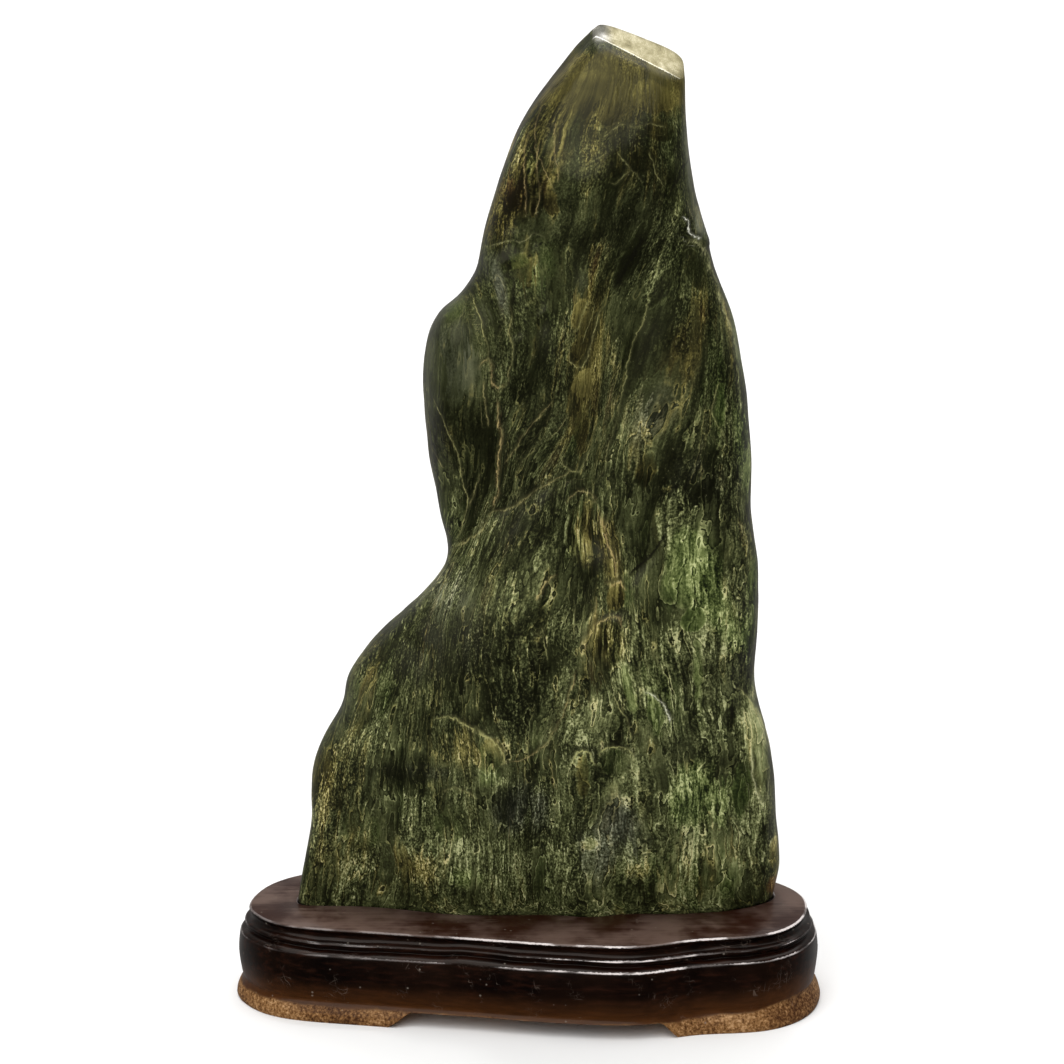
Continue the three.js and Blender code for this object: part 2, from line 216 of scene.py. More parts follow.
# (name, centre, reach, lean, tone, olive, fresh, smooth)
LENSES: tuple[Lens, ...] = (
    Lens("cap_amber", (59, 460), (10.9, 7.8), -0.3, 0.05, 0.85, 0.0, 0.95),
    Lens("cap_brown", (29, 468), (11.4, 4.7), 0.5, 0.02, 1.0, 0.0, 0.8),
    Lens("cap_grey", (40, 454), (6.8, 6.8), 0.4, -0.04, 0.1, 0.0, 0.85),
    Lens("cap_dark", (29, 457), (3.1, 6.8), 0.5, -0.08, 0.2, 0.0, 0.6),
    Lens("head_pool_a", (30, 443), (3.6, 4.2), 0.0, -0.1, 0.1, 0.0, 0.8),
    Lens("head_pool_b", (62, 445), (7.8, 5.7), -0.3, -0.1, 0.3, 0.0, 0.85),
    Lens("head_pool_c", (54, 431), (6.8, 6.8), 0.2, -0.1, 0.1, 0.0, 0.85),
    Lens("head_pool_d", (42, 429), (5.2, 6.2), 0.2, -0.07, 0.1, 0.1, 0.7),
    Lens("head_pool_e", (69, 424), (2.6, 7.8), 0.2, -0.1, 0.1, 0.0, 0.7),
    Lens("maroon_a", (-6, 417), (3.6, 14), 0.25, -0.14, 1.0, 0.0, 0.7),
    Lens("maroon_b", (10, 412), (3.6, 7.3), -0.1, -0.1, 1.0, 0.0, 0.7),
    Lens("maroon_c", (2, 416), (1.6, 11.4), 0.0, -0.12, 1.0, 0.0, 0.6),
    Lens("notch_shadow", (-14, 385), (3.6, 5.2), -0.3, -0.2, 0.0, 0.0, 0.5),
    Lens("notch_light", (-6, 382), (6.8, 4.7), 0.2, 0.06, 0.5, 0.25, 0.2),
    Lens("flute_dark", (48, 384), (4.2, 15.6), 0.45, -0.1, 0.0, 0.0, 0.75),
    Lens("flute_second", (65, 370), (4.7, 10.4), 0.5, -0.14, 0.0, 0.0, 0.7),
    Lens("flute_third", (36, 374), (3.1, 15.6), 0.3, -0.1, 0.1, 0.0, 0.5),
    Lens("shoulder_dark", (81, 377), (6.2, 10.4), -0.3, -0.14, 0.1, 0.0, 0.6),
    Lens("olive_upper", (24, 358), (3.1, 7.3), 0.2, 0.1, 0.9, 0.1, 0.6),
    Lens("brown_eye", (23, 341), (3.6, 7.3), 0.3, -0.12, 1.0, 0.0, 0.8),
    Lens("olive_bright", (26, 323), (4.2, 8.8), 0.1, 0.12, 0.9, 0.1, 0.8),
    Lens("olive_long", (25, 301), (3.6, 13.5), 0.0, -0.06, 0.7, 0.1, 0.9),
    Lens("grey_slip", (33, 293), (2.6, 12.5), 0.05, 0.02, 0.1, 0.0, 0.8),
    Lens("grey_slip_low", (30, 276), (3.1, 5.2), 0.1, 0.06, 0.0, 0.0, 0.8),
    Lens("brown_hollow", (57, 280), (5.2, 9.4), 0.2, -0.14, 0.4, 0.0, 0.6),
    Lens("block_olive", (42, 218), (4.7, 7.3), 0.0, 0.0, 0.75, 0.1, 0.9),
    Lens("block_green", (49, 218), (2.6, 11.4), -0.15, 0.08, 0.1, 0.4, 0.8),
    Lens("emerald", (81, 205), (6.2, 6.2), 0.0, -0.14, -0.2, 0.9, 0.95),
    Lens("pale_blade_a", (49, 172), (3.1, 14.6), -0.25, 0.1, 0.1, 0.4, 0.85),
    Lens("pale_blade_b", (62, 161), (3.6, 12.5), -0.2, 0.12, 0.1, 0.4, 0.8),
    Lens("pale_blade_c", (84, 178), (2.6, 18.7), -0.05, 0.12, 0.1, 0.5, 0.85),
    Lens("dome_gold_body", (27, 125), (4.2, 12.5), 0.0, 0.0, 0.5, 0.4, 0.8),
    Lens("dome_green_body", (43, 133), (8.3, 8.3), 0.0, -0.1, 0.0, 0.3, 0.7),
    Lens("toe_pale", (115, 132), (5.7, 27), -0.15, 0.16, 0.2, 0.0, 0.8),
    Lens("toe_emerald", (107, 113), (4.7, 15.6), 0.0, -0.16, -0.1, 0.5, 0.95),
    Lens("toe_low", (126, 72), (2.6, 11.4), 0.0, 0.1, 0.5, 0.1, 0.8),
    Lens("gold_fan", (-20, 136), (7.8, 10.4), 0.1, 0.14, 0.6, 0.1, 0.1),
    Lens("first_hood", (28, 249), (9.9, 19.8), 0.0, 0.1, 0.3, 0.1, 0.1),
    Lens("second_fan", (37, 196), (9.4, 15.6), -0.1, 0.0, 0.1, 0.15, 0.2),
    Lens("bright_tongue", (77, 232), (10.4, 21.8), 0.0, 0.12, 0.0, 0.2, 0.2),
    Lens("low_fan", (82, 110), (11.4, 15.6), 0.0, 0.05, 0.2, 0.15, 0.1),
    Lens("yellow_spot", (30, 88), (4.2, 4.2), 0.0, 0.18, 0.5, 0.4, 0.3),
    Lens("tan_spot", (68, 271), (3.6, 2.6), 0.4, 0.42, 0.8, 0.0, 0.2),
    Lens("dark_drop", (30, 229), (2.6, 5.2), 0.2, -0.25, 0.0, 0.0, 0.6),
    Lens("shade_pool", (-10, 109), (10.4, 11.4), 0.0, -0.16, -0.1, 0.0, 0.3),
    Lens("black_grain", (101, 152), (3.1, 8.3), 0.0, -0.18, 0.0, 0.0, 0.2),
    Lens("flank_blade_a", (-39, 100), (8.8, 11.4), 0.0, -0.04, 0.1, 0.3, 0.6),
    Lens("flank_blade_b", (-85, 91), (10.4, 14.6), 0.0, -0.04, 0.1, 0.3, 0.6),
    Lens("flange_green", (93, 308), (2.6, 13.5), 0.0, 0.04, 0.2, 0.4, 0.7),
)
ZONES: tuple[Zone, ...] = (
    Zone("lower_half", (15, 117), (156, 120), tone=0.08, speckle=0.2),
    Zone("summit_band", (46, 476), (31, 7), -0.2, tone=0.1, olive=0.8, speckle=0.6),
    Zone("cap", (44, 464), (39, 16), olive=0.75, smooth=0.8),
    Zone("cap_right", (72, 463), (7, 21), tone=0.1, olive=0.6, grey=0.3),
    Zone("hair_field", (4, 435), (17, 36), 0.45, tone=-0.05, olive=0.75, strand=0.55, rust=0.2),
    Zone("hair_left", (-14, 399), (10, 21), 0.4, tone=-0.04, olive=0.5, strand=0.3),
    Zone("hair_low_dark", (1, 414), (14, 14), 0.2, tone=-0.12, olive=0.2, strand=0.3, rust=0.25),
    Zone("shoulder_sheen", (84, 398), (5, 7), tone=0.12, smooth=0.6, grey=0.8),
    # Lighter tan on the cap's left: partly the stone's tan, partly painted sheen.
    Zone("cap_left", (22, 465), (15, 10), 0.4, tone=0.05, olive=0.5, smooth=0.4),
    # Painted sheen: the grey rim light along the head's right edge.
    Zone("head_rim_right", (78, 424), (3, 32), -0.12, tone=0.14, smooth=0.6, grey=0.5),
    Zone("head_calm", (34, 418), (16, 21), tone=-0.03, smooth=0.3),
    Zone("head_middle", (43, 434), (30, 25), tone=-0.12, olive=0.3, speckle=0.1),
    Zone("head_low_dark", (53, 397), (23, 26), 0.4, tone=-0.2),
    Zone("head_right", (79, 415), (6, 31), olive=0.2, grey=0.4),
    Zone("notch_green", (3, 380), (15, 17), 0.2, tone=0.05, olive=0.2, fresh=0.5),
    # Painted sheen: the lit grey face of the rib.
    Zone("rib_grey", (-14, 371), (4, 23), -0.25, tone=0.1, smooth=0.5, grey=0.8),
    Zone("lobe_sheen", (-36, 335), (16, 32), smooth=0.85, grey=0.55),
    Zone("lobe_top_green", (-36, 358), (8, 7), 0.5, tone=0.06, fresh=0.4),
    Zone("lobe_dark", (-29, 292), (18, 29), -0.2, tone=-0.2, olive=0.1, smooth=0.45),
    Zone("inner_dark", (0, 340), (16, 39), tone=-0.17, olive=0.05, smooth=0.15),
    Zone("inner_low", (0, 300), (16, 23), 0.4, tone=-0.1, olive=0.2, speckle=0.2),
    Zone("olive_spine", (27, 331), (9, 49), 0.1, tone=-0.05, olive=0.75, smooth=0.2),
    Zone("centre_grey", (61, 315), (21, 34), 0.5, tone=0.02, olive=0.25, smooth=0.4, speckle=0.3,
         grey=0.35),
    Zone("centre_grey_light", (62, 310), (10, 17), 0.3, tone=-0.07, speckle=0.2, grey=0.3),
    Zone("right_dark", (78, 349), (15, 26), 0.3, tone=-0.16, olive=0.35, speckle=0.3),
    Zone("right_low_dark", (79, 275), (21, 21), tone=-0.14, speckle=0.4, grey=0.35),
    Zone("flange_dark", (94, 304), (11, 47), -0.2, tone=-0.04, fresh=0.2),
    # Lighter green along the flange's right edge: partly the stone's green, partly painted rim light.
    Zone("flange_low_edge", (106, 292), (5, 31), -0.1, tone=0.12, fresh=0.5),
    Zone("flange_edge", (103, 340), (5, 26), -0.25, tone=0.1, olive=0.3, fresh=0.6),
    Zone("flange_rust", (89, 355), (7, 8), rust=0.3),
    Zone("summit_glint", (36, 487), (5, 2), -0.2, pale=1.0),
    Zone("waist_left", (-5, 254), (21, 23), 0.5, tone=-0.14, speckle=0.4, grey=0.25),
    Zone("fan_first", (26, 248), (8, 18), olive=0.4, fresh=0.15, strand=1.0),
    Zone("runnel_zone", (41, 236), (6, 21), -0.15, tone=0.08, olive=0.9, strand=0.6),
    Zone("bright_patch", (82, 229), (17, 29), tone=0.1, fresh=0.65, strand=0.2),
    Zone("bright_tail", (98, 203), (10, 26), -0.35, tone=0.13, olive=0.25, fresh=0.8),
    Zone("right_edge_mid", (111, 210), (5, 36), tone=0.1, fresh=0.6),
    # Pale speckled patch under the notch: partly the stone's own pale speckle, partly painted light on
    # the notch's lit edge.
    Zone("notch_pale", (-37, 218), (14, 15), 0.5, tone=0.19, speckle=0.6, grey=0.5),
    Zone("flank_upper", (-49, 189), (31, 23), 0.6, tone=-0.19, speckle=0.8, grey=0.3),
    Zone("flank_edge", (-82, 177), (11, 16), 0.5, tone=0.06, olive=0.3, speckle=0.6),
    Zone("flank_mid_dark", (-14, 181), (29, 29), 0.1, tone=-0.2, grey=0.1),
    Zone("centre_low_dark", (-7, 158), (16, 13), tone=-0.18, speckle=0.4, grey=0.2),
    Zone("fan_second", (39, 197), (10, 14), -0.1, tone=-0.08, olive=0.45, fresh=0.2, strand=0.9),
    Zone("blade_field", (60, 172), (25, 31), -0.2, tone=0.04, fresh=0.3, strand=0.4),
    Zone("flank_left", (-93, 128), (18, 29), 0.3, tone=0.02, olive=0.4, speckle=0.7),
    Zone("flank_left_edge", (-105, 111), (6, 31), tone=0.01, olive=0.3, speckle=0.4),
    Zone("flank_band", (-60, 127), (26, 6), tone=-0.14, speckle=0.7, grey=0.4),
    Zone("scallop_field", (-34, 142), (18, 14), tone=0.02, olive=0.5, speckle=0.3),
    Zone("scallop_light", (-20, 124), (7, 6), tone=0.12, fresh=0.4),
    Zone("shade_low", (-5, 107), (18, 19), tone=-0.1, speckle=0.4, grey=0.8),
    Zone("low_left", (-76, 74), (42, 21), tone=0.06, olive=0.3, speckle=0.8),
    Zone("low_tan", (-54, 74), (12, 10), olive=0.3, speckle=0.7),
    Zone("low_green", (-32, 68), (12, 7), tone=0.1, fresh=0.5),
    Zone("low_centre", (36, 84), (31, 23), tone=0.02, speckle=0.7, grey=0.55),
    Zone("low_grey", (46, 104), (10, 14), speckle=0.3, strand=0.4, grey=0.5),
    Zone("low_rust", (53, 72), (15, 6), tone=0.03, olive=0.6, speckle=0.7, rust=0.3),
    Zone("gold_specks", (80, 123), (8, 10), tone=0.22, olive=0.6, fresh=0.4),
    Zone("bright_low", (84, 109), (18, 23), tone=0.1, fresh=0.6, strand=0.3),
    Zone("low_right", (87, 70), (31, 21), tone=0.18, olive=0.35, fresh=0.3, strand=0.3),
    Zone("toe", (115, 137), (8, 36), -0.15, tone=0.2, fresh=0.2, smooth=0.3),
    Zone("toe_dark", (122, 89), (6, 10), tone=-0.16, grey=0.4),
    Zone("toe_rust", (125, 56), (5, 7), olive=0.6, rust=0.9),
    Zone("base_lights", (46, 50), (6, 5), tone=0.12, olive=0.4, fresh=0.3),
)
# How the fibres run: (across, height, how far they move sideways for each step up).
GUIDES: tuple[tuple[float, float, float], ...] = (
    (10, 466, 0.77), (4, 433, 0.39), (-7, 416, 0.38), (-16, 406, 0.31), (32, 466, 0.21),
    (64, 463, -0.07), (79, 431, -0.12), (51, 436, 0.14), (31, 432, 0.18), (17, 398, 0.16),
    (48, 388, 0.56), (68, 388, 0.6), (60, 366, 0.4), (88, 372, -0.38), (103, 332, -0.14),
    (92, 324, -0.1), (-14, 371, -0.33), (-28, 360, -0.66), (-46, 339, 0.21), (-48, 296, -0.01),
    (-36, 283, -0.23), (-27, 335, -0.13), (-16, 296, -0.01), (-1, 361, 0.07), (-3, 323, 0.04),
    (25, 362, 0.1), (25, 316, -0.01), (53, 348, 0.27), (42, 305, 0.24), (2, 302, 0.74), (8, 293, 0.73),
    (65, 325, 0.57), (60, 302, 0.49), (76, 290, 0.16), (109, 270, -0.12), (19, 251, 0.03),
    (32, 251, -0.07), (42, 233, -0.06), (57, 260, 0.16), (79, 232, 0.02), (96, 213, -0.11),
    (113, 207, -0.1), (-12, 249, 0.5), (8, 223, 0.56), (-42, 217, 0.52), (7, 191, -0.08),
    (23, 216, 0.07), (-19, 188, -0.03), (-50, 179, 0.09), (-84, 172, 0.43), (32, 184, 0.19),
    (45, 174, -0.26), (58, 187, -0.19), (81, 174, -0.06), (105, 175, -0.14), (118, 142, -0.19),
    (124, 101, -0.06), (66, 132, -0.07), (87, 106, -0.04), (107, 96, -0.05), (16, 160, 0.31),
    (29, 115, 0.07), (45, 112, 0.01), (0, 112, 0.02), (-22, 136, -0.31), (-41, 133, 0.07),
    (-65, 127, 0.04), (-100, 128, 0.26), (-105, 84, 0.18), (-75, 75, -0.01), (-40, 81, -0.01),
    (5, 69, -0), (36, 64, -0.04), (66, 68, -0.02), (97, 63, -0.06),
)
# (seam, width of the step, rise, reach): the skin stands proud on the seam's right hand.
STEPS: tuple[tuple[str, float, float, float], ...] = (
    ("scallop_a", 3.5, 1.3, 14.0), ("scallop_b", 3.5, 0.9, 12.0), ("second_hood", 3.5, 1.0, 10.0),
    ("hood", 3.5, -1.0, 12.0), ("dome_gold", 3.5, 1.0, 10.0), ("dome_green", 3.5, 1.0, 10.0),
    ("pale_arc", 3.5, 0.8, 10.0), ("toe_crest", 3.5, 1.0, 12.0), ("head_ring", 3.0, -0.5, 6.0),
    ("notch_arc", 3.0, -1.0, 6.0),
)
FOLDS: tuple[Mark, ...] = (
    Mark("shoulder_lip", 3.0, 1.6, ((68, 404), (74, 404), (78, 399), (82, 392), (87, 386))),
    Mark("shoulder_hollow", 4.0, -1.2, ((70, 396), (74, 390), (79, 384))),
    Mark("rib_edge", 3.0, 1.4, ((-19, 385), (-16, 373), (-14, 361), (-11, 350))),
    Mark("rib_groove", 3.5, -1.4, ((-11, 382), (-7, 370), (-5, 356), (-6, 344))),
    Mark("lobe_flute_a", 5.0, -0.9, ((-34, 368), (-33, 340), (-33, 310), (-31, 280))),
    Mark("lobe_flute_b", 5.0, 0.9, ((-41, 362), (-42, 335), (-40, 305), (-36, 275))),
    Mark("notch_crease", 3.0, -1.5, ((-40, 231), (-28, 244), (-19, 256), (-4, 263), (14, 275),
        (26, 281))),
    Mark("centre_flute", 4.5, -1.4, ((58, 366), (52, 345), (46, 322), (38, 296), (33, 274))),
    Mark("olive_rib", 5.0, 1.2, ((29, 380), (24, 350), (25, 320), (25, 292), (26, 276))),
    Mark("crack_step", 3.0, -0.9, ((48, 225), (54, 232), (61, 239), (68, 251))),
    Mark("runnel", 3.5, 0.9, ((35, 259), (38, 244), (42, 230), (43, 214))),
    Mark("blade_gap", 4.0, -0.9, ((60, 214), (62, 190), (66, 165), (69, 145))),
    Mark("low_gap_a", 5.0, -1.2, ((92, 190), (95, 160), (99, 130), (100, 100))),
    Mark("low_gap_b", 5.0, -1.1, ((8, 120), (4, 100), (2, 80), (0, 64))),
    Mark("low_rib", 6.0, 1.2, ((70, 130), (74, 105), (76, 80), (78, 64))),
    Mark("flank_dent", 8.0, -1.3, ((-60, 170), (-52, 150), (-50, 128))),
    Mark("flank_rib", 7.0, 1.2, ((-84, 150), (-92, 120), (-98, 90), (-104, 66))),
    Mark("flank_swell", 9.0, 1.2, ((-34, 218), (-46, 205), (-58, 192))),
)

# The plate's outline, anticlockwise from the right end, and the moulding as (out, height) from below.
PLATE_OUTLINE: tuple[Point, ...] = (
    (143, 0), (134, 24), (108, 44), (55, 58), (0, 64), (-60, 59), (-108, 46), (-132, 29), (-142, 4),
    (-139, -17), (-120, -35), (-75, -45), (-30, -53), (12, -61), (52, -64.5), (84, -55), (118, -48),
    (137, -29),
)
MOULDING: tuple[Point, ...] = (
    (7, 0), (7.6, 2), (6.6, 5.6), (4, 10.4), (4.8, 13.6), (6.2, 24), (5.6, 33), (4.5, 36), (1.2, 37.6),
    (2.4, 38.8), (2.7, 40.8), (-0.3, 42.2), (-0.9, 44.6), (0.4, 46.4), (-0.8, 47.5),
)


# ---- Small tools for fields, lines and colours ----


def smooth_step(low: float, high: float, value: Array) -> Array:
    """Rises smoothly from 0 at low to 1 at high; falls if low is the greater."""
    share = np.clip((value - low) / (high - low), 0.0, 1.0)
    return share * share * (3.0 - 2.0 * share)


def line_distance(across: Array, height: Array, line: Sequence[Point]) -> tuple[Array, Array]:
    """Measures how far points lie from an open line.

    Args:
        across: the points' places across, in millimetres.
        height: their heights.
        line: the line's corners.

    Returns:
        The signed distance, positive on the line's left hand, and the share of its length, 0 to 1,
        at the nearest place.
    """
    corners = np.asarray(line, float)
    runs = np.linalg.norm(np.diff(corners, axis=0), axis=1)
    starts = np.concatenate([[0.0], np.cumsum(runs)])
    best = np.full(across.shape, 1e9)
    signed = best.copy()
    share = np.zeros(across.shape)
    for index, run in enumerate(runs):
        start, way = corners[index], (corners[index + 1] - corners[index]) / run
        out_x, out_z = across - start[0], height - start[1]
        along = np.clip(out_x * way[0] + out_z * way[1], 0.0, run)
        gap = np.hypot(out_x - along * way[0], out_z - along * way[1])
        side = np.where(way[0] * out_z - way[1] * out_x >= 0.0, 1.0, -1.0)
        nearer = gap < best
        best = np.where(nearer, gap, best)
        signed = np.where(nearer, gap * side, signed)
        share = np.where(nearer, (starts[index] + along) / starts[-1], share)
    return signed, share


def end_fade(share: Array, part: float = 0.12) -> Array:
    """Strength along a line that dies away over a part of its length at each end."""
    return smooth_step(0.0, part, share) * smooth_step(1.0, 1.0 - part, share)


def curve_spot(knots: Sequence[Vector], t: float) -> Vector:
    """A place on the smooth curve through four knots, a share t of the way between the middle two."""
    a, b, c, d = knots
    square, cube = 2 * a - 5 * b + 4 * c - d, 3 * b - a - 3 * c + d
    return 0.5 * (2 * b + (c - a) * t + square * t**2 + cube * t**3)


def rgb(*parts: float) -> tuple[float, ...]:
    """Turns a display colour, 0 to 255 in each part, into the linear colour that a shader takes."""
    shares = (part / 255.0 for part in parts)
    return (*(share / 12.92 if share <= 0.04045 else ((share + 0.055) / 1.055) ** 2.4
              for share in shares), 1.0)


@dataclass(frozen=True)
class GrainField:
    """The run of the fibres: a sideways coordinate that stays the same along each fibre.

    The guides give (across, height, lean), lean being how far a fibre moves sideways for each
    millimetre up. The coordinate stays level along the blended leans, and grows by about a
    millimetre for each millimetre across.
    """

    guides: tuple[tuple[float, float, float], ...] = GUIDES
    step: float = 10.0
    reach: float = 17.0
    left: float = -132.0
    right: float = 149.0
    low: float = 36.0
    high: float = 517.0
    # How hard the fibres are pulled upright away from the guides, and kept evenly spaced.
    upright: float = 0.02
    evenness: float = 0.2
    # How much height counts for, beside width, in how near a guide is.
    tall: float = 0.6

    def leans(self, across: Array, height: Array) -> Array:
        """Blends the guides' leans at some places, near ones first."""
        total = np.full(across.shape, self.upright)
        lean = np.zeros(across.shape)
        for x, z, slope in self.guides:
            weight = np.exp(-((across - x) ** 2 + (self.tall * (height - z)) ** 2) / self.reach**2)
            total += weight
            lean += weight * slope
        return lean / total

    def solve(self) -> Array:
        """Finds the sideways coordinate on a grid, as the best fit of many small conditions.

        Returns:
            Its values, one row for each height.
        """
        xs = np.arange(self.left, self.right, self.step)
        zs = np.arange(self.low, self.high, self.step)
        number = np.arange(len(zs) * len(xs)).reshape(len(zs), len(xs))
        low, high = number[:-1], number[1:]
        corners = [spot.ravel() for spot in (low[:, :-1], low[:, 1:], high[:, :-1], high[:, 1:])]
        across, height = np.meshgrid(xs[:-1] + self.step / 2.0, zs[:-1] + self.step / 2.0)
        lean = self.leans(across, height).ravel()
        norm = 2.0 * np.sqrt(1.0 + lean**2)
        shares = [(rise + lean * side) / norm for side, rise in zip((-1, 1, -1, 1), (-1, -1, 1, 1))]
        matrix = np.zeros((number.size, number.size))
        for spot, share in zip(corners, shares):
            for other, other_share in zip(corners, shares):
                np.add.at(matrix, (spot, other), share * other_share)
        left, right = number[:, :-1].ravel(), number[:, 1:].ravel()
        wanted = np.zeros(number.size)
        for spot, other, side in ((left, right, -1.0), (right, left, 1.0)):
            np.add.at(matrix, (spot, spot), self.evenness**2)
            np.add.at(matrix, (spot, other), -self.evenness**2)
            np.add.at(wanted, spot, side * self.evenness**2 * self.step)
        matrix[0, 0] += 1.0
        wanted[0] += xs[0]
        return np.linalg.solve(matrix, wanted).reshape(number.shape)

    def sample(self, across: Array, height: Array) -> Array:
        """Solves the coordinate and reads it between the grid's places."""
        field = self.solve()
        col = np.clip((across - self.left) / self.step, 0, field.shape[1] - 1.001)
        row = np.clip((height - self.low) / self.step, 0, field.shape[0] - 1.001)
        i, j = row.astype(int), col.astype(int)
        u, v = row - i, col - j
        lower = field[i, j] * (1 - v) + field[i, j + 1] * v
        upper = field[i + 1, j] * (1 - v) + field[i + 1, j + 1] * v
        return lower * (1 - u) + upper * u


# ---- Shader nodes ----


@dataclass(frozen=True, eq=False)
class Wire:
    """An output of a shader node. Each sum that is written with it adds a node to its graph."""

    graph: "Graph"
    socket: bpy.types.NodeSocket

    def __add__(self, other: "Value") -> "Wire":
        """This number and another."""
        return self.graph.calc("ADD", self, other)

    def __radd__(self, other: "Value") -> "Wire":
        """Another number and this one."""
        return self.graph.calc("ADD", other, self)

    def __sub__(self, other: "Value") -> "Wire":
        """This number less another."""
        return self.graph.calc("SUBTRACT", self, other)

    def __rsub__(self, other: "Value") -> "Wire":
        """Another number less this one."""
        return self.graph.calc("SUBTRACT", other, self)

    def __mul__(self, other: "Value") -> "Wire":
        """This number times another."""
        return self.graph.calc("MULTIPLY", self, other)

    def __abs__(self) -> "Wire":
        """This number without its sign."""
        return self.graph.calc("ABSOLUTE", self)

    def parts(self) -> tuple["Wire", ...]:
        """The three parts of a vector."""
        node = self.graph.add("ShaderNodeSeparateXYZ", {0: self})
        return tuple(Wire(self.graph, socket) for socket in node.outputs)

    def scaled(self, x: float, y: float, z: float) -> "Wire":
        """A vector drawn out or pressed together along each axis."""
        return self.graph.vector("MULTIPLY", self, (x, y, z))

    def span(self, low: float, high: float, start: "Value" = 0.0, end: "Value" = 1.0) -> "Wire":
        """Takes low to high smoothly to start to end, and holds it beyond."""
        return self.graph.wire(0, "ShaderNodeMapRange", {0: self, 1: low, 2: high, 3: start, 4: end},
                               interpolation_type="SMOOTHSTEP")

    def ramp(self, stops: Sequence[tuple[float, tuple]]) -> "Wire":
        """Runs a number through colours."""
        node = self.graph.add("ShaderNodeValToRGB", {0: self})
        band = node.color_ramp
        while len(band.elements) < len(stops):
            band.elements.new(0.5)
        for element, (at, colour) in zip(band.elements, stops):
            element.position = at
            element.color = rgb(*colour)
        return Wire(self.graph, node.outputs[0])


Value = Union[Wire, float, tuple]


class Graph:
    """The shader nodes of one material, added one call at a time."""

    def __init__(self, name: str, tree: bpy.types.NodeTree = None) -> None:
        """Starts an empty material of that name, or clears a tree that is there."""
        if tree is None:
            self.material = bpy.data.materials.new(name)
            self.material.use_nodes = True
            tree = self.material.node_tree
        self.tree = tree
        self.tree.nodes.clear()

    def add(self, kind: str, inputs: dict, **settings: object) -> bpy.types.Node:
        """Adds a node.

        Args:
            kind: the node's type.
            inputs: for each input's name or number, a wire to link or a value to set.
            settings: the node's own properties.

        Returns:
            The node.
        """
        node = self.tree.nodes.new(kind)
        for key, value in settings.items():
            setattr(node, key, value)
        for key, value in inputs.items():
            if isinstance(value, Wire):
                self.tree.links.new(value.socket, node.inputs[key])
            else:
                node.inputs[key].default_value = value
        return node

    def wire(self, output: Union[int, str], kind: str, inputs: dict, **settings: object) -> Wire:
        """Adds a node and gives one of its outputs."""
        return Wire(self, self.add(kind, inputs, **settings).outputs[output])

    def place(self) -> Wire:
        """Place on the piece, in metres."""
        return self.wire("Object", "ShaderNodeTexCoord", {})

    def attribute(self, name: str) -> Wire:
        """A vector stored on the piece's vertices."""
        return self.wire("Vector", "ShaderNodeAttribute", {}, attribute_name=name)

    def calc(self, what: str, a: Value, b: Value = 0.0) -> Wire:
        """One sum on numbers."""
        return self.wire(0, "ShaderNodeMath", {0: a, 1: b, 2: 0.0}, operation=what)

    def vector(self, what: str, a: Value, b: Value) -> Wire:
        """One sum on vectors."""
        return self.wire(0, "ShaderNodeVectorMath", {0: a, 1: b}, operation=what)

    def noise(self, at: Wire, scale: float, detail: float = 3.0, rough: float = 0.55) -> Wire:
        """Soft noise of one value, about 0.5."""
        return self.wire(0, "ShaderNodeTexNoise", {"Vector": at, "Scale": scale, "Detail": detail,
                                                   "Roughness": rough})

    def swing(self, at: Wire, scale: float, detail: float, rough: float) -> Wire:
        """Soft noise of one value, about zero."""
        return self.noise(at, scale, detail, rough) - 0.5

    def wander(self, at: Wire, scale: float, amount: float) -> Wire:
        """Moves a place about by soft noise, up to about half of amount each way, in metres."""
        wave = self.wire(1, "ShaderNodeTexNoise", {"Vector": at, "Scale": scale, "Detail": 2.0})
        return self.vector("ADD", at, self.vector("SUBTRACT", wave, (0.5,) * 3).scaled(*(amount,) * 3))

    def cells(self, at: Wire, scale: float) -> tuple[bpy.types.Node, Wire]:
        """A pattern of cells: its node, and three random numbers for each cell."""
        node = self.add("ShaderNodeTexVoronoi", {"Vector": at, "Scale": scale}, feature="F1")
        return node, Wire(self, node.outputs["Color"])

    def mix(self, share: Value, a: Value, b: Value) -> Wire:
        """Blends two colours."""
        return self.wire(2, "ShaderNodeMix", {0: share, 6: a, 7: b}, data_type="RGBA")

    def lerp(self, share: Value, a: Value, b: Value) -> Wire:
        """Blends two numbers."""
        return self.wire(0, "ShaderNodeMix", {0: share, 2: a, 3: b}, data_type="FLOAT")

    def bump(self, height: Wire, depth: float, strength: float) -> Wire:
        """Tilts the shading by a height; depth is the height's full scale in metres."""
        return self.wire(0, "ShaderNodeBump", {"Height": height, "Distance": depth,
                                               "Strength": strength})

    def finish(self, **inputs: Value) -> bpy.types.Material:
        """Ends the graph in a shader, whose inputs are named with low lines for spaces."""
        named = {key.replace("_", " "): value for key, value in inputs.items()}
        shader = self.wire(0, "ShaderNodeBsdfPrincipled", named)
        self.add("ShaderNodeOutputMaterial", {"Surface": shader})
        return self.material


# ---- Finishes ----


@dataclass(frozen=True)
class Finish:
    """The gloss of a surface under its clear coat. Each kind of finish lays out its own colours."""

    roughness: float
    specular: float
    specular_tint: tuple
    coat: float
    coat_roughness: float

    def shader(self, g: Graph, colour: Wire, gloss: Wire, tilt: Wire) -> bpy.types.Material:
        """Ends a graph in the shader.

        Args:
            g: the graph.
            colour: the colour of the surface.
            gloss: what the pattern adds to the roughness.
            tilt: the tilt of the shading.

        Returns:
            The material.
        """
        return g.finish(Base_Color=colour, Roughness=gloss, Normal=tilt, Coat_Normal=tilt,
                        Specular_IOR_Level=self.specular, Specular_Tint=self.specular_tint,
                        Coat_Weight=self.coat, Coat_Roughness=self.coat_roughness)


def band(*colours: tuple, stops: tuple = (0.0, 0.22, 0.42, 0.62, 0.82, 1.0)) -> tuple:
    """The stops of a colour ramp, from dark to light."""
    return tuple(zip(stops, colours))


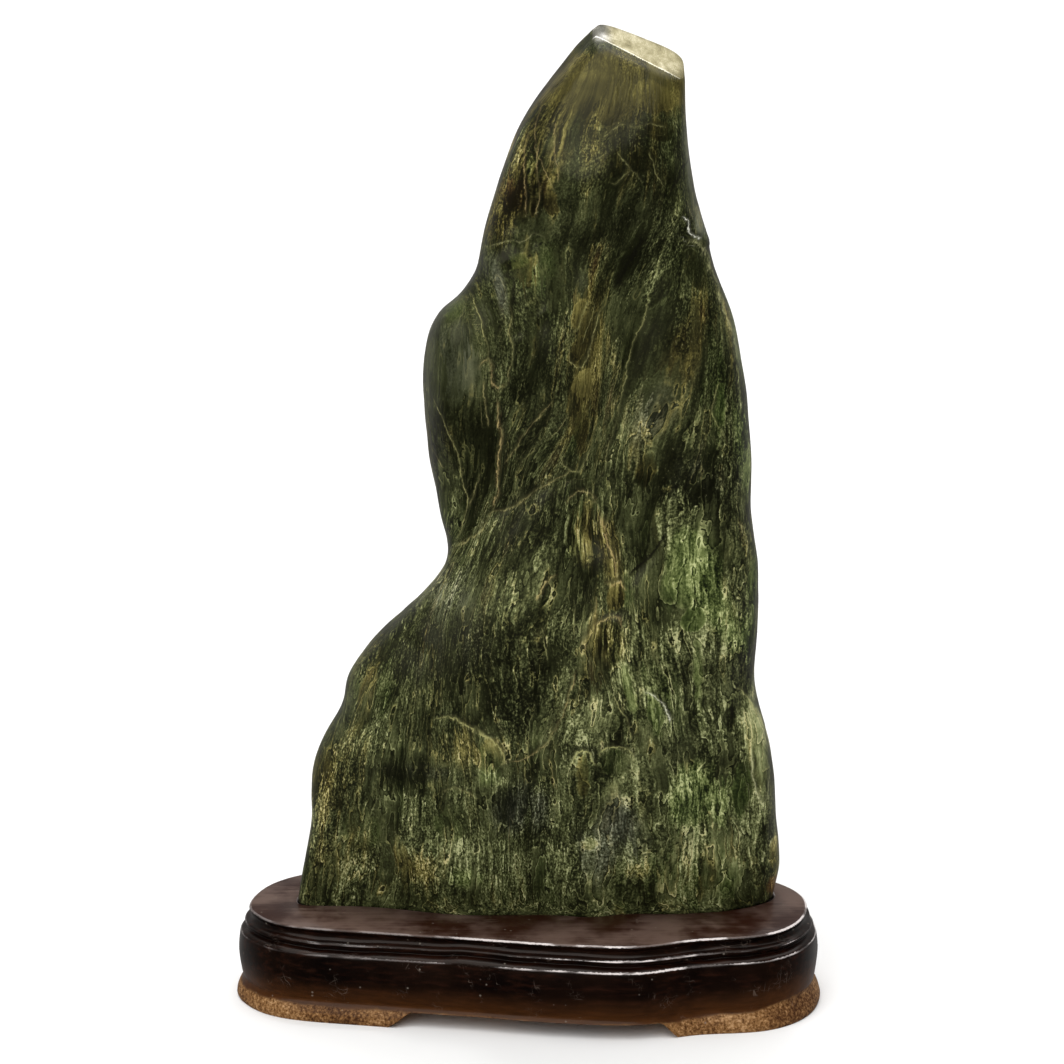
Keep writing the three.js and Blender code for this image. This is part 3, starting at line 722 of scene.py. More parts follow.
@dataclass(frozen=True)
class StoneFinish(Finish):
    """Polished green stone: pale fibres on dark green, blades, seams, grains and pits, with painted
    light and shade on the blades, the stacked layers and beside the seams, and painted highlights, sheen
    and reflections.

    The patterns follow the vertex vectors that the stone carries: grain, tint, patch, streak, lens,
    blade, seam_gap, seam_force, seam_warmth and crack.
    """

    roughness: float = 0.36
    specular: float = 0.18
    specular_tint: tuple = (1.0, 0.96, 0.6, 1.0)
    coat: float = 0.05
    coat_roughness: float = 0.15
    fibre_scale: float = 760.0
    fibre_draw: float = 0.12
    fray: float = 0.05
    # (scale, draw along the grain, slope of the painted light across a blade, painted shade in the gaps,
    # variety) of the hanging blades.
    blade_layers: tuple = ((44.0, 0.45, 0.05, 0.06, 0.06), (115.0, 0.3, 0.13, 0.13, 0.08))
    facet_normal: tuple[float, float, float] = (0.3247, -0.3358, 0.8842)
    facet_level: float = 0.4399
    edge_way: tuple[float, float, float] = (0.252, 0.967, 0.0)
    edge_level: float = 0.0140
    common: tuple = band((11, 13, 4), (26, 29, 12), (52, 56, 31), (84, 88, 54), (124, 129, 86),
                         (172, 174, 128))
    olive: tuple = band((15, 13, 4), (36, 33, 13), (68, 63, 30), (104, 97, 50), (146, 137, 82),
                        (194, 182, 128))
    fresh: tuple = band((11, 17, 6), (30, 40, 14), (62, 73, 35), (98, 109, 61), (136, 145, 92),
                        (184, 190, 134))
    grey: tuple = band((13, 15, 10), (30, 33, 24), (57, 60, 46), (90, 93, 76), (128, 131, 112),
                       (176, 177, 160))
    # Colours of the cut facet: partly its own pale cream, partly painted sheen, up to a near-white
    # painted highlight.
    pale: tuple = band((62, 56, 30), (118, 110, 72), (172, 163, 126), (214, 206, 174), (250, 246, 226),
                       stops=(0.0, 0.3, 0.6, 0.85, 1.0))
    # Painted reflection: the silver-grey sheen at the facet's left end.
    silver: tuple = band((40, 42, 42), (92, 94, 96), (160, 160, 164), (250, 250, 248),
                         stops=(0.0, 0.4, 0.7, 1.0))

    def build(self) -> bpy.types.Material:
        """Lays out the shader.

        Returns:
            The material.
        """
        g = Graph("polished_green_stone")
        here = g.place()
        grain = g.attribute("grain")
        tone, olive, fresh = g.attribute("tint").parts()
        pale, smooth, speckle = g.attribute("patch").parts()
        strand, rust, grey = g.attribute("streak").parts()
        mottle = g.attribute("blade").parts()[2]

        # Noises about zero, most of them drawn out along the grain.
        drawn = grain.scaled(1.0, 1.0, self.fibre_draw)
        fibre = g.swing(drawn, self.fibre_scale, 3.0, 0.75)
        grit = g.swing(grain.scaled(1.0, 1.0, 0.45), 1600.0, 1.0, 0.7)
        veil = g.swing(drawn, 165.0, 2.0, 0.6)
        blotch = g.swing(grain, 110.0, 3.0, 0.65)
        thread = g.swing(grain.scaled(1.0, 1.0, 0.055), 800.0, 2.0, 0.6)

        smooth, tone, olive, fresh, rim = self.blades(g, smooth, (tone, olive, fresh), fibre, blotch)
        blade_tone_and_painted_shade, kind, rough = self.hanging_blades_painted_shade(g, grain, thread)

        # Light and dark: fibres and grit, then painted light and shade on the blades that lie over one
        # another.
        low = here.parts()[2].span(0.36, 0.26)
        # Stacked layers along the contours of the noise: painted shading that lightens each layer
        # towards its rim, a painted rim light on its edge and painted shade in the undercut below it.
        depth = veil * (3.4 + low * 2.6) + blotch * (0.7 + low * 0.9) + fibre * 0.2 + 4.5
        stack = g.calc("FRACT", depth)
        uneven = blotch.span(-0.12, 0.12, 0.25, 1.0)
        painted_rim_light = stack.span(0.78, 0.95) * uneven
        painted_undercut_shade = stack.span(0.24, 0.02) * uneven
        lively = (fibre * (0.6 - low * 0.1 - speckle * 0.2) + fibre.span(0.08, 0.2, 0.0, 0.1)
                  + grit * (1.1 - low * 0.3 + speckle * 0.75) + blotch * (speckle * 0.3)
                  + thread * (0.35 + low * 0.35) * speckle.span(0.0, 1.0, 1.0, 0.2))
        shape = (blade_tone_and_painted_shade * (0.52 + low * 0.2 + fresh * 0.12) + (stack - 0.5) * 0.14
                 + painted_rim_light * (0.12 + low * 0.15) + painted_undercut_shade * (-0.04 - low * 0.22))
        strands = thread.span(-0.14, 0.14, -0.5, 0.5) * strand * 0.55
        level = (0.395 + tone + lively * (1.0 - smooth * 0.85) * rough + veil * (0.2 - smooth * 0.1)
                 + shape * (1.0 - smooth * 0.5) + blotch * 0.08 + mottle * 0.09 + rim * 0.16 + strands)
        level = g.calc("MAXIMUM", g.calc("MINIMUM", level, 1.0), 0.0)

        # Hues: each soft zone is broken up along the fibres.
        shift = (veil * 1.2 + kind * 0.5) * (1.0 - smooth * 0.6)
        # The painted rim lights and the lit side of each layer lean to olive.
        rimmed = painted_rim_light * 0.25 + (stack - 0.5) * 0.2
        colour = g.mix((grey + shift).span(0.2, 1.0), level.ramp(self.common), level.ramp(self.grey))
        colour = g.mix((olive + shift + rimmed).span(0.1, 0.9), colour, level.ramp(self.olive))
        colour = g.mix((fresh - shift).span(0.15, 0.9), colour, level.ramp(self.fresh))
        rusty = g.mix(level, rgb(40, 20, 8), rgb(150, 96, 52))
        colour = g.mix((rust + shift).span(0.3, 0.9) * 0.5, colour, rusty)

        # Fine marks: seams, light dots, dark pits and cracks.
        shake = grit * 1.8 + blotch * 8.5 + fibre * 3.0
        breaks = fibre.span(-0.08, 0.06, 0.3, 1.0) * blotch.span(-0.12, 0.05, 0.35, 1.0)
        colour = self.seams(g, colour, shake, breaks)
        dot = (grit + speckle * 0.03 - smooth * 0.1).span(0.2, 0.28, 0.0, 0.22)
        colour = g.mix(dot, colour, g.mix(veil.span(-0.1, 0.1), rgb(112, 108, 64), rgb(172, 168, 128)))
        pit = (grit + blotch * 0.5 + smooth * 0.1).span(-0.2, -0.28, 0.0, 0.8)
        colour = g.mix(pit, colour, rgb(12, 12, 8))
        colour = self.cracks(g, colour, shake)
        colour = self.facet(g, colour, here, (grit, blotch), pale)

        tilt = g.bump(g.noise(drawn, self.fibre_scale, 1.0, 0.6), 0.0006, 0.3)
        gloss = self.roughness + speckle * 0.12 - smooth * 0.06 + fibre * 0.25
        return self.shader(g, colour, gloss, tilt)

    def blades(self, g: Graph, smooth: Wire, hues: tuple[Wire, ...], fibre: Wire,
               blotch: Wire) -> tuple[Wire, ...]:
        """Lays the named blades and pools over the soft zones, with ragged edges.

        Args:
            g: the graph.
            smooth: how still the pattern is in the soft zones.
            hues: their light and dark, their olive share and their fresh green share.
            fibre: noise of the fibres.
            blotch: noise of middling size.

        Returns:
            The first four with the blades laid in, and the strength of the blades' rims.
        """
        tone, olive, fresh = hues
        gap, blade_tone, blade_olive = g.attribute("lens").parts()
        blade_fresh, blade_smooth, _ = g.attribute("blade").parts()
        gap = gap + fibre * 3.5 + blotch * 6.0
        inside = gap.span(-0.8, 1.2)
        rim = abs(gap).span(0.5, 0.1) * blotch.span(-0.12, 0.04) * (1.0 - smooth)
        smooth = g.calc("MAXIMUM", smooth, inside * (blade_smooth * 0.75))
        return (smooth, tone + inside * (blade_tone * 0.9), olive + inside * blade_olive,
                fresh + inside * blade_fresh, rim)

    def hanging_blades_painted_shade(self, g: Graph, at: Wire, thread: Wire) -> tuple:
        """Makes blades of fibre that lie over one another, with frayed ends, painted light across each
        blade from the left and the top, and painted shade in the gaps between them.

        Args:
            g: the graph.
            at: place along the grain.
            thread: noise of long threads, which frays the ends.

        Returns:
            Their painted light and shade and their random tones, about zero, and for each of the narrow
            ones a random number about zero and the strength of the fibres in it.
        """
        frayed = g.vector("ADD", at, g.wire(0, "ShaderNodeCombineXYZ", {2: thread * self.fray}))
        light: Value = 0.0
        for scale, draw, slope, gap, variety in self.blade_layers:
            place = frayed.scaled(1.0, 1.0, draw)
            cell, lots = g.cells(place, scale)
            middle, distance = (Wire(g, cell.outputs[name]) for name in ("Position", "Distance"))
            side, _, rise = g.vector("SUBTRACT", place, middle).parts()
            lean = rise * scale + side * (-0.5 * scale)
            lot, other, _ = lots.parts()
            kind = lot - 0.5
            # Painted light across each blade, brighter at its upper left edge, its own random tone, and
            # painted shade towards the gaps between blades.
            light = (light + lean.span(-0.5, 0.5, -slope, slope) + kind * variety
                     + lean.span(0.35, 0.6, 0.0, slope) + distance.span(0.4, 0.75, 0.0, -gap))
        return light, kind, other.span(0.1, 0.9, 0.35, 1.4)

    def seams(self, g: Graph, colour: Wire, shake: Wire, breaks: Wire) -> Wire:
        """Draws the named light seams over the colour, each with a band of painted shade along its left
        hand side; the one on the shoulder's lip is a painted highlight.

        Args:
            g: the graph.
            colour: what lies under them.
            shake: how far their lines stray, in seam widths.
            breaks: where they are strong.

        Returns:
            The colour.
        """
        layers = zip(*(g.attribute(name).parts() for name in ("seam_gap", "seam_force", "seam_warmth")))
        for gap, force, warmth in layers:
            side = gap + shake
            off = abs(side)
            # Painted shade: a dark band along the seam's left hand side.
            painted_step_shade = side.span(0.5, 1.4) * side.span(6.0, 1.6) * (force * 0.7)
            colour = g.mix(painted_step_shade, colour, rgb(17, 19, 9))
            core = off.span(0.85, 0.15) * breaks
            share = g.calc("MAXIMUM", core, off.span(2.4, 0.5) * 0.1) * force
            light = g.mix(warmth.span(0.0, 1.0), rgb(156, 155, 100), rgb(166, 144, 96))
            light = g.mix(warmth.span(0.0, -1.0), light, rgb(224, 224, 208))
            colour = g.mix(share, colour, light)
        return colour

    def cracks(self, g: Graph, colour: Wire, shake: Wire) -> Wire:
        """Draws the named dark cracks over the colour, and two dark lines of painted shade down the
        groove beside the rib.
        """
        gap, force, _ = g.attribute("crack").parts()
        return g.mix(abs(gap + shake).span(1.5, 0.3) * force, colour, rgb(11, 11, 6))

    def facet(self, g: Graph, colour: Wire, here: Wire, noises: tuple[Wire, Wire], pale: Wire) -> Wire:
        """Paints the cut facet of the summit pale, partly its own colour and partly painted sheen, with
        a painted highlight along its front edge, a painted silver reflection at its left end and the
        painted glints of the pale zones.
        """
        def past(way: tuple, level: float) -> Wire:
            """How far a place lies past a plane."""
            return g.wire(1, "ShaderNodeVectorMath", {0: here, 1: way}, operation="DOT_PRODUCT") - level
        grit, blotch = noises
        depth = past(self.facet_normal, self.facet_level) + grit * 0.0006
        front = past(self.edge_way, self.edge_level) + grit * 0.0022
        share = depth.span(-0.0016, -0.0006) * front.span(-0.0003, 0.0003)
        # A painted highlight along the facet's front edge.
        line = front.span(-0.0001, 0.0003) * front.span(0.0016, 0.0005)
        # A painted silver reflection at the facet's left end.
        left = here.parts()[0].span(0.042, 0.035)
        tone = 0.6 + blotch * 1.3 + grit * 0.5 + line * 0.5 + pale * 0.6 - left * 0.3
        cut = g.mix(left * 0.75, tone.ramp(self.pale), tone.ramp(self.silver))
        return g.mix(g.calc("MAXIMUM", share, pale), colour, cut)


@dataclass(frozen=True)
class LacquerFinish(Finish):
    """Dark lacquer on carved wood, thin and brown low down, gone from the sandy feet."""

    roughness: float = 0.34
    specular: float = 0.14
    specular_tint: tuple = (1.0, 0.86, 0.74, 1.0)
    coat: float = 0.12
    coat_roughness: float = 0.1
    foot_height: float = 0.0085
    brown_height: float = 0.0245
    top_height: float = 0.0466
    # Heights of the moulding's crests, which carry painted highlights.
    highlight_crests: tuple[float, ...] = (0.0471, 0.0402, 0.0350)
    # (squash, scale) of the fine scratches.
    scratches: tuple = (((0.12, 1.0, 0.5), 210.0), ((0.5, 1.0, 0.12), 190.0), ((1.0, 0.12, 1.0), 230.0))
    sand: tuple = band((58, 32, 12), (98, 66, 36), (132, 96, 58), (178, 142, 102),
                       stops=(0.2, 0.42, 0.6, 0.85))

    def build(self) -> bpy.types.Material:
        """Lays out the shader.

        Returns:
            The material.
        """
        g = Graph("worn_lacquered_wood")
        here = g.place()
        along, _, height = here.parts()
        wood = g.noise(here.scaled(0.06, 1.0, 1.0), 420.0, 4.0, 0.6)
        cloud = g.noise(here, 26.0, 4.0, 0.6)
        fleck = g.noise(here, 700.0, 3.0, 0.65)
        wave = (g.noise(here, 45.0) - 0.5) * 0.006
        ragged = height + wave + (fleck - 0.5) * 0.0022 - along.span(0.09, 0.145) * 0.005

        # The body, from dark lacquer through brown to the bare feet.
        dark = g.mix(cloud.span(0.35, 0.65), rgb(5, 1, 1), rgb(19, 6, 2))
        dark = g.mix(wood.span(0.45, 0.75) * 0.35, dark, rgb(56, 26, 14))
        low = g.mix(wood, rgb(34, 15, 3), rgb(80, 45, 16))
        colour = g.mix(ragged.span(self.brown_height, self.foot_height), dark, low)
        bare = ragged.span(self.foot_height + 0.0004, self.foot_height - 0.0012)
        colour = g.mix(bare, colour, (fleck * 1.5 + cloud * 1.1 - 0.8).ramp(self.sand))

        # The plate's top, with lighter patches that are partly worn lacquer and partly painted sheen,
        # and painted highlights: bright lines on the crests of the moulding, broken up and fainter to
        # the left.
        up = g.wire("Normal", "ShaderNodeNewGeometry", {}).parts()[2]
        top = height.span(self.top_height, self.top_height + 0.0006) * up.span(0.5, 0.9)
        # Lighter patches on the plate's top: partly worn lacquer, partly painted sheen.
        wear_and_sheen = cloud * 0.8 + wood * 0.2
        colour = g.mix(top, colour, g.mix(wear_and_sheen.span(0.4, 0.6), rgb(40, 17, 10), rgb(90, 72, 64)))
        crest_highlight: Value = 0.0
        for level in self.highlight_crests:
            off = abs(height - level + (fleck - 0.5) * 0.0012)
            crest_highlight = g.calc("MAXIMUM", crest_highlight, off.span(0.00055, 0.0002))
        # The painted highlights break up and fade towards the left end.
        highlight_breaks = g.noise(here.scaled(0.5, 0.5, 2.5), 90.0, 2.0).span(0.4, 0.52, 0.1, 1.0)
        highlight_strength = highlight_breaks * along.span(-0.07, -0.015, 0.2, 1.0)
        crest_highlight = crest_highlight * (up.span(0.2, 0.6) * up.span(0.97, 0.88)) * highlight_strength
        colour = g.mix(crest_highlight, colour, rgb(212, 204, 202))

        scratch, dust = self.wear(g, here)
        colour = g.mix(scratch * 0.25, colour, rgb(132, 116, 104))
        colour = g.mix(dust * 0.25, colour, rgb(176, 166, 152))
        tilt = g.bump(wood * 0.35 + fleck * g.lerp(bare, 0.1, 1.0) - scratch * 0.5, 0.0004, 0.4)
        gloss = (self.roughness + bare * 0.5 + (cloud - 0.5) * 0.3 + scratch * 0.2 + dust * 0.3
                 + top * 0.08)
        return self.shader(g, colour, gloss, tilt)

    def wear(self, g: Graph, here: Wire) -> tuple[Value, Wire]:
        """Draws fine scratches and dust, and gives the strength of each."""
        scratch: Value = 0.0
        for squash, scale in self.scratches:
            line = abs(g.noise(g.wander(here, 30.0, 0.0012).scaled(*squash), scale, 2.0, 0.5) - 0.5)
            line = line.span(0.007, 0.001) * g.noise(here, 75.0, 2.0).span(0.56, 0.68)
            scratch = g.calc("MAXIMUM", scratch, line)
        cell, lots = g.cells(here, 330.0)
        speck = Wire(g, cell.outputs["Distance"]).span(0.24, 0.1)
        return scratch, speck * g.calc("GREATER_THAN", lots.parts()[0], 0.94)


def floor_finish() -> bpy.types.Material:
    """A matt pale material with the faintest unevenness."""
    g = Graph("pale_floor")
    cloud = g.noise(g.place(), 3.0, 2.0)
    tint = g.mix(cloud * 0.05, rgb(236, 236, 236), rgb(228, 228, 230))
    return g.finish(Base_Color=tint, Roughness=0.9)


# ---- Meshes ----


def add_object(name: str, data: object) -> bpy.types.Object:
    """Places a mesh, a light or a camera in the scene, at the origin."""
    made = bpy.data.objects.new(name, data)
    bpy.context.scene.collection.objects.link(made)
    return made


def finished_object(name: str, mesh: bpy.types.Mesh, material: bpy.types.Material) -> bpy.types.Object:
    """Places a finished mesh, in metres, in the scene, smooth-shaded and in its material."""
    mesh.name = name
    mesh.materials.clear()
    mesh.materials.append(material)
    mesh.shade_smooth()
    return add_object(name, mesh)


def settled_mesh(worker: bpy.types.Object) -> bpy.types.Mesh:
    """Gives an object's mesh with its modifiers applied, and removes the object."""
    graph = bpy.context.evaluated_depsgraph_get()
    mesh = bpy.data.meshes.new_from_object(worker.evaluated_get(graph))
    bpy.data.objects.remove(worker)
    return mesh


def mesh_from(bm: bmesh.types.BMesh, name: str) -> bpy.types.Mesh:
    """Turns a working mesh into a named one, and frees it."""
    mesh = bpy.data.meshes.new(name)
    bm.to_mesh(mesh)
    bm.free()
    return mesh


def pull_ring(bm: bmesh.types.BMesh, edges: list, known: dict) -> tuple[dict, list]:
    """Extrudes a ring of edges.

    Args:
        bm: the working mesh.
        edges: the ring.
        known: something that is known of each of its vertices.

    Returns:
        The same for each vertex of the new ring, and the new ring's edges.
    """
    made = bmesh.ops.extrude_edge_only(bm, edges=edges)["geom"]
    following = {}
    for vert in (item for item in made if isinstance(item, bmesh.types.BMVert)):
        others = (edge.other_vert(vert) for edge in vert.link_edges)
        following[vert] = known[next(other for other in others if other in known)]
    ring = [item for item in made if isinstance(item, bmesh.types.BMEdge)]
    return following, [edge for edge in ring if all(vert in following for vert in edge.verts)]


def settle_order(bm: bmesh.types.BMesh) -> None:
    """Puts a mesh's vertices in order of place, then its edges and faces in order of their vertices."""
    def by_rank(parts: Sequence, key: Callable) -> None:
        """Sorts the parts by a key that need not be a number."""
        ranks = {part: rank for rank, part in enumerate(sorted(parts, key=key))}
        parts.sort(key=ranks.get)
        parts.index_update()
    by_rank(bm.verts, lambda vert: tuple(vert.co))
    by_rank(bm.edges, lambda edge: sorted(vert.index for vert in edge.verts))
    by_rank(bm.faces, lambda face: sorted(vert.index for vert in face.verts))


@dataclass
class Skin:
    """The places and directions of a mesh's vertices, in millimetres, while they are moved."""

    mesh: bpy.types.Mesh

    def __post_init__(self) -> None:
        """Reads the mesh."""
        self.places = self.read(self.mesh.vertices, "co") / MM
        self.normals = self.read(self.mesh.vertex_normals, "vector")

    def read(self, source: bpy.types.bpy_prop_collection, what: str) -> Array:
        """Reads three numbers for each vertex."""
        flat = np.empty(len(self.mesh.vertices) * 3, np.float32)
        source.foreach_get(what, flat)
        return flat.reshape(-1, 3).astype(float)

    def raise_by(self, lift: Array) -> None:
        """Moves each vertex outwards by a length, and writes the places back to the mesh."""
        self.places += self.normals * lift[:, None]
        self.mesh.vertices.foreach_set("co", (self.places * MM).astype(np.float32).ravel())
        self.mesh.update()

    def store(self, name: str, columns: Sequence[Array]) -> None:
        """Stores three numbers for each vertex as a vector attribute."""
        layer = self.mesh.attributes.new(name, "FLOAT_VECTOR", "POINT")
        layer.data.foreach_set("vector", np.stack(columns, axis=1).astype(np.float32).ravel())


# ---- The stone ----


@dataclass(frozen=True)
class BackMarks:
    """What the back of the stone shows: things of the front's kinds, drawn at random."""

    seed: int
    zone_count: int = 34
    lens_count: int = 36
    vein_count: int = 16
    vein_step: float = 9.0
    kinds: tuple[dict[str, float], ...] = (
        {"tone": -0.16, "grey": 0.2}, {"tone": 0.14, "fresh": 0.8}, {"olive": 0.75, "strand": 0.6},
        {"speckle": 0.8, "tone": 0.03, "grey": 0.3}, {"smooth": 0.6, "tone": -0.05}, {"tone": -0.18},
        {"tone": 0.1, "olive": 0.4})

    def zones(self) -> list[Zone]:
        """Soft zones."""
        draw = random.Random(self.seed).uniform
        zones = [Zone("back_cap", (45, 462), (40, 18), olive=0.75, tone=0.06, smooth=0.3)]
        for index in range(self.zone_count):
            spot = (draw(-100, 115), draw(60, 450))
            reach = (draw(12, 26), draw(16, 38))
            lean = draw(-0.3, 0.3)
            kind = self.kinds[index % len(self.kinds)]
            zones.append(Zone(f"back_{index}", spot, reach, lean, **kind))
        return zones

    def lenses(self) -> list[Lens]:
        """Blades and pools."""
        draw = random.Random(self.seed + 1).uniform
        return [Lens(f"back_{index}", (draw(-95, 110), draw(60, 455)), (draw(3, 8), draw(8, 17)),
                     draw(-0.3, 0.3), draw(-0.32, 0.16), draw(-0.1, 0.9), draw(-0.1, 0.4),
                     draw(0.5, 0.95)) for index in range(self.lens_count)]

    def veins(self) -> list[Vein]:
        """Seams, which follow the run of the fibres."""
        lot = random.Random(self.seed + 2)
        draw, flow, step = lot.uniform, GrainField(), self.vein_step
        veins = []
        for index in range(self.vein_count):
            x, z, drift = draw(-80, 95), draw(110, 455), draw(-0.25, 0.25)
            line = [(x, z)]
            for _ in range(lot.randint(4, 11)):
                lean = float(flow.leans(np.array([x]), np.array([z]))[0]) + drift + draw(-0.3, 0.3)
                x, z = x - step * lean, z - step
                line.append((x, z))
            width, strength, warmth = draw(0.6, 1.3), draw(0.6, 0.9), draw(-0.2, 0.8)
            veins.append(Vein(f"back_{index}", width, strength, tuple(line), index % 3, warmth))
        return veins


@dataclass
class Stone:
    """The stone, made from its plain solid by smoothing it and cutting finer relief into it."""

    name: str = "stone_skin"
    levels: int = 2
    merge: float = 0.02
    seat_rim: float = 48.2
    relief_from: float = 56.0
    summit_from: float = 452.0
    summit_up: float = 0.86
    rim_bend: float = 0.45
    rim_crease: float = 0.75
    # (size, amount) of the soft swells of the skin, and of the wandering of the fibres.
    swells: tuple = ((26.0, 0.9), (12.0, 0.5), (6.5, 0.26))
    strays: tuple = ((24.0, 1.6), (6.0, 0.5))
    # Swells smaller than this are fainter where the skin is smooth. All are drawn out upwards.
    fine_size: float = 20.0
    swell_draw: float = 0.45
    side_rounds: int = 60
    crack_reach: float = 3.0
    seam_reach: float = 3.5
    mark_fade: float = 2.0
    # A lens's depth in its middle, as a share of its half width, and how far it sinks elsewhere.
    lens_depth: float = 0.6
    lens_sink: float = 12.0
    # How much lighter each lens is painted at its top and darker at its bottom: painted shading.
    lens_painted_shading: float = 0.1
    mottle_size: float = 34.0
    seed: int = 23

    def build(self) -> bpy.types.Object:
        """Makes and dresses the stone.

        Returns:
            The finished piece.
        """
        mesh = self.smooth_copy()
        skin = Skin(mesh)
        self.across, self.height = skin.places[:, 0].copy(), skin.places[:, 2].copy()
        self.facing = skin.normals[:, 1]
        self.front = smooth_step(0.4, -0.05, self.facing)
        self.back = 1.0 - smooth_step(0.05, -0.4, self.facing)
        self.marks = BackMarks(self.seed)
        self.grain = self.fibres(skin)
        self.hues = self.zone_hues()
        normal, level = self.facet(skin)
        off_facet = smooth_step(0.5, 4.0, level - skin.places @ normal)
        skin.raise_by(self.relief() * off_facet)
        self.store(skin)
        finish = StoneFinish(facet_normal=tuple(float(part) for part in normal),
                             facet_level=float(level) * MM)
        piece = finished_object(self.name, mesh, finish.build())
        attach(piece, "root")
        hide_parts("stone")
        return piece

    def smooth_copy(self) -> bpy.types.Mesh:
        """Copies the solid, joins its loose triangles into quads and rounds it by subdivision."""
        bm = bmesh.new()
        bm.from_mesh(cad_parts["stone"].data)
        bmesh.ops.remove_doubles(bm, verts=bm.verts, dist=self.merge * MM)
        bm.normal_update()
        crease = bm.edges.layers.float.new("crease_edge")
        for edge in bm.edges:
            high = (edge.verts[0].co.z + edge.verts[1].co.z) / 2.0 / MM
            if high > self.summit_from and edge.calc_face_angle(0.0) > self.rim_bend:
                edge[crease] = self.rim_crease
        bmesh.ops.join_triangles(bm, faces=bm.faces, angle_face_threshold=0.9,
                                 angle_shape_threshold=1.4)
        worker = add_object("stone_work", mesh_from(bm, "stone_work"))
        rounder = worker.modifiers.new("round", "SUBSURF")
        rounder.levels = rounder.render_levels = self.levels
        return settled_mesh(worker)

    def facet(self, skin: Skin) -> tuple[Array, float]:
        """Finds the plane of the summit's cut facet: its direction and its level."""
        flat = (skin.places[:, 2] > self.summit_from) & (skin.normals[:, 2] > self.summit_up)
        normal = skin.normals[flat].mean(axis=0)
        normal /= np.linalg.norm(normal)
        return normal, float(np.median(skin.places[flat] @ normal))

    def fibres(self, skin: Skin) -> Array:
        """Each vertex's place along the fibres, which wander by a few millimetres."""
        drawn = GrainField().sample(self.across, self.height)
        deep = skin.places[:, 1] * self.side_share(skin)
        noise.seed_set(self.seed)
        shift = np.zeros_like(skin.places)
        for size, amount in self.strays:
            waves = [noise.noise_vector(Vector(spot) / size) for spot in skin.places]
            shift += np.array(waves) * amount
        return np.stack([drawn, deep, self.height], axis=1) + shift

    def side_share(self, skin: Skin) -> Array:
        """How far each vertex faces sideways, little on the front and the back, spread softly."""
        ends = np.empty(len(skin.mesh.edges) * 2, np.int32)
        skin.mesh.edges.foreach_get("vertices", ends)
        ends = ends.reshape(-1, 2)
        both = np.concatenate([ends[:, 0], ends[:, 1]])
        other = np.concatenate([ends[:, 1], ends[:, 0]])
        size = len(self.facing)
        count = np.bincount(both, minlength=size)
        share = smooth_step(0.75, 0.3, np.abs(self.facing))
        for _ in range(self.side_rounds):
            share = 0.5 * share + 0.5 * np.bincount(both, share[other], size) / count
        return 0.08 + 0.92 * share

    def zone_hues(self) -> Array:
        """Adds up the soft zones: one row for each vertex and one column for each hue."""
        hues = np.zeros((len(self.across), len(Hue)))
        for zones, share in ((ZONES, self.front), (self.marks.zones(), self.back)):
            for zone in zones:
                weight = smooth_step(1.35, 0.25, np.hypot(*zone.gaps(self.across, self.height))) * share
                hues += np.outer(weight, zone.amounts())
        return hues

    def relief(self) -> Array:
        """Works out the finer relief: soft swells, narrow folds and the steps under some seams.

        Returns:
            How far each vertex moves outwards.
        """
        rough = 1.0 - 0.8 * np.clip(self.hues[:, Hue.SMOOTH.value], 0.0, 1.0)
        lift = np.zeros(len(self.across))
        for size, amount in self.swells:
            stretch = Vector((1.0 / size, 1.0 / size, self.swell_draw / size))
            wave = np.array([noise.noise(Vector(spot) * stretch) for spot in self.grain])
            lift += amount * wave * (rough if size < self.fine_size else 1.0)
        for fold in FOLDS:
            signed, share = line_distance(self.across, self.height, fold.line)
            lift += fold.strength * np.exp(-((signed / fold.width) ** 2)) * end_fade(share) * self.front
        lines = {vein.name: vein.line for vein in VEINS}
        for name, width, rise, reach in STEPS:
            signed, share = line_distance(self.across, self.height, lines[name])
            inner = smooth_step(width / 2.0, -width / 2.0, signed) * np.exp(-((signed / reach) ** 2))
            lift += rise * inner * end_fade(share) * self.front
        return lift * smooth_step(self.seat_rim, self.relief_from, self.height)

    def store(self, skin: Skin) -> None:
        """Stores on the mesh the vectors that the finish reads."""
        def columns(*hues: Hue) -> list[Array]:
            """The columns of some hues."""
            return [self.hues[:, hue.value] for hue in hues]
        skin.store("grain", (self.grain * MM).T)
        skin.store("tint", columns(Hue.TONE, Hue.OLIVE, Hue.FRESH))
        skin.store("patch", np.clip(columns(Hue.PALE, Hue.SMOOTH, Hue.SPECKLE), 0, 1))
        skin.store("streak", np.clip(columns(Hue.STRAND, Hue.RUST, Hue.GREY), 0, 1))
        self.store_lenses(skin)
        self.store_seams(skin)
        gap, force = np.full(len(self.across), FAR), np.zeros(len(self.across))
        for crack in CRACKS:
            signed, here = self.mark_force(crack, self.crack_reach)
            nearer = np.abs(signed / crack.width) < np.abs(gap)
            gap = np.where(nearer, signed / crack.width, gap)
            force = np.where(nearer, here * self.front, force)
        skin.store("crack", [gap, force, np.zeros(len(gap))])

    def mark_force(self, mark: Mark, reach: float) -> tuple[Array, Array]:
        """Each vertex's signed distance from a mark, and the mark's strength, which fades past reach."""
        signed, share = line_distance(self.across, self.height, mark.line)
        near = smooth_step(reach + self.mark_fade, reach, np.abs(signed))
        return signed, mark.strength * end_fade(share) * near

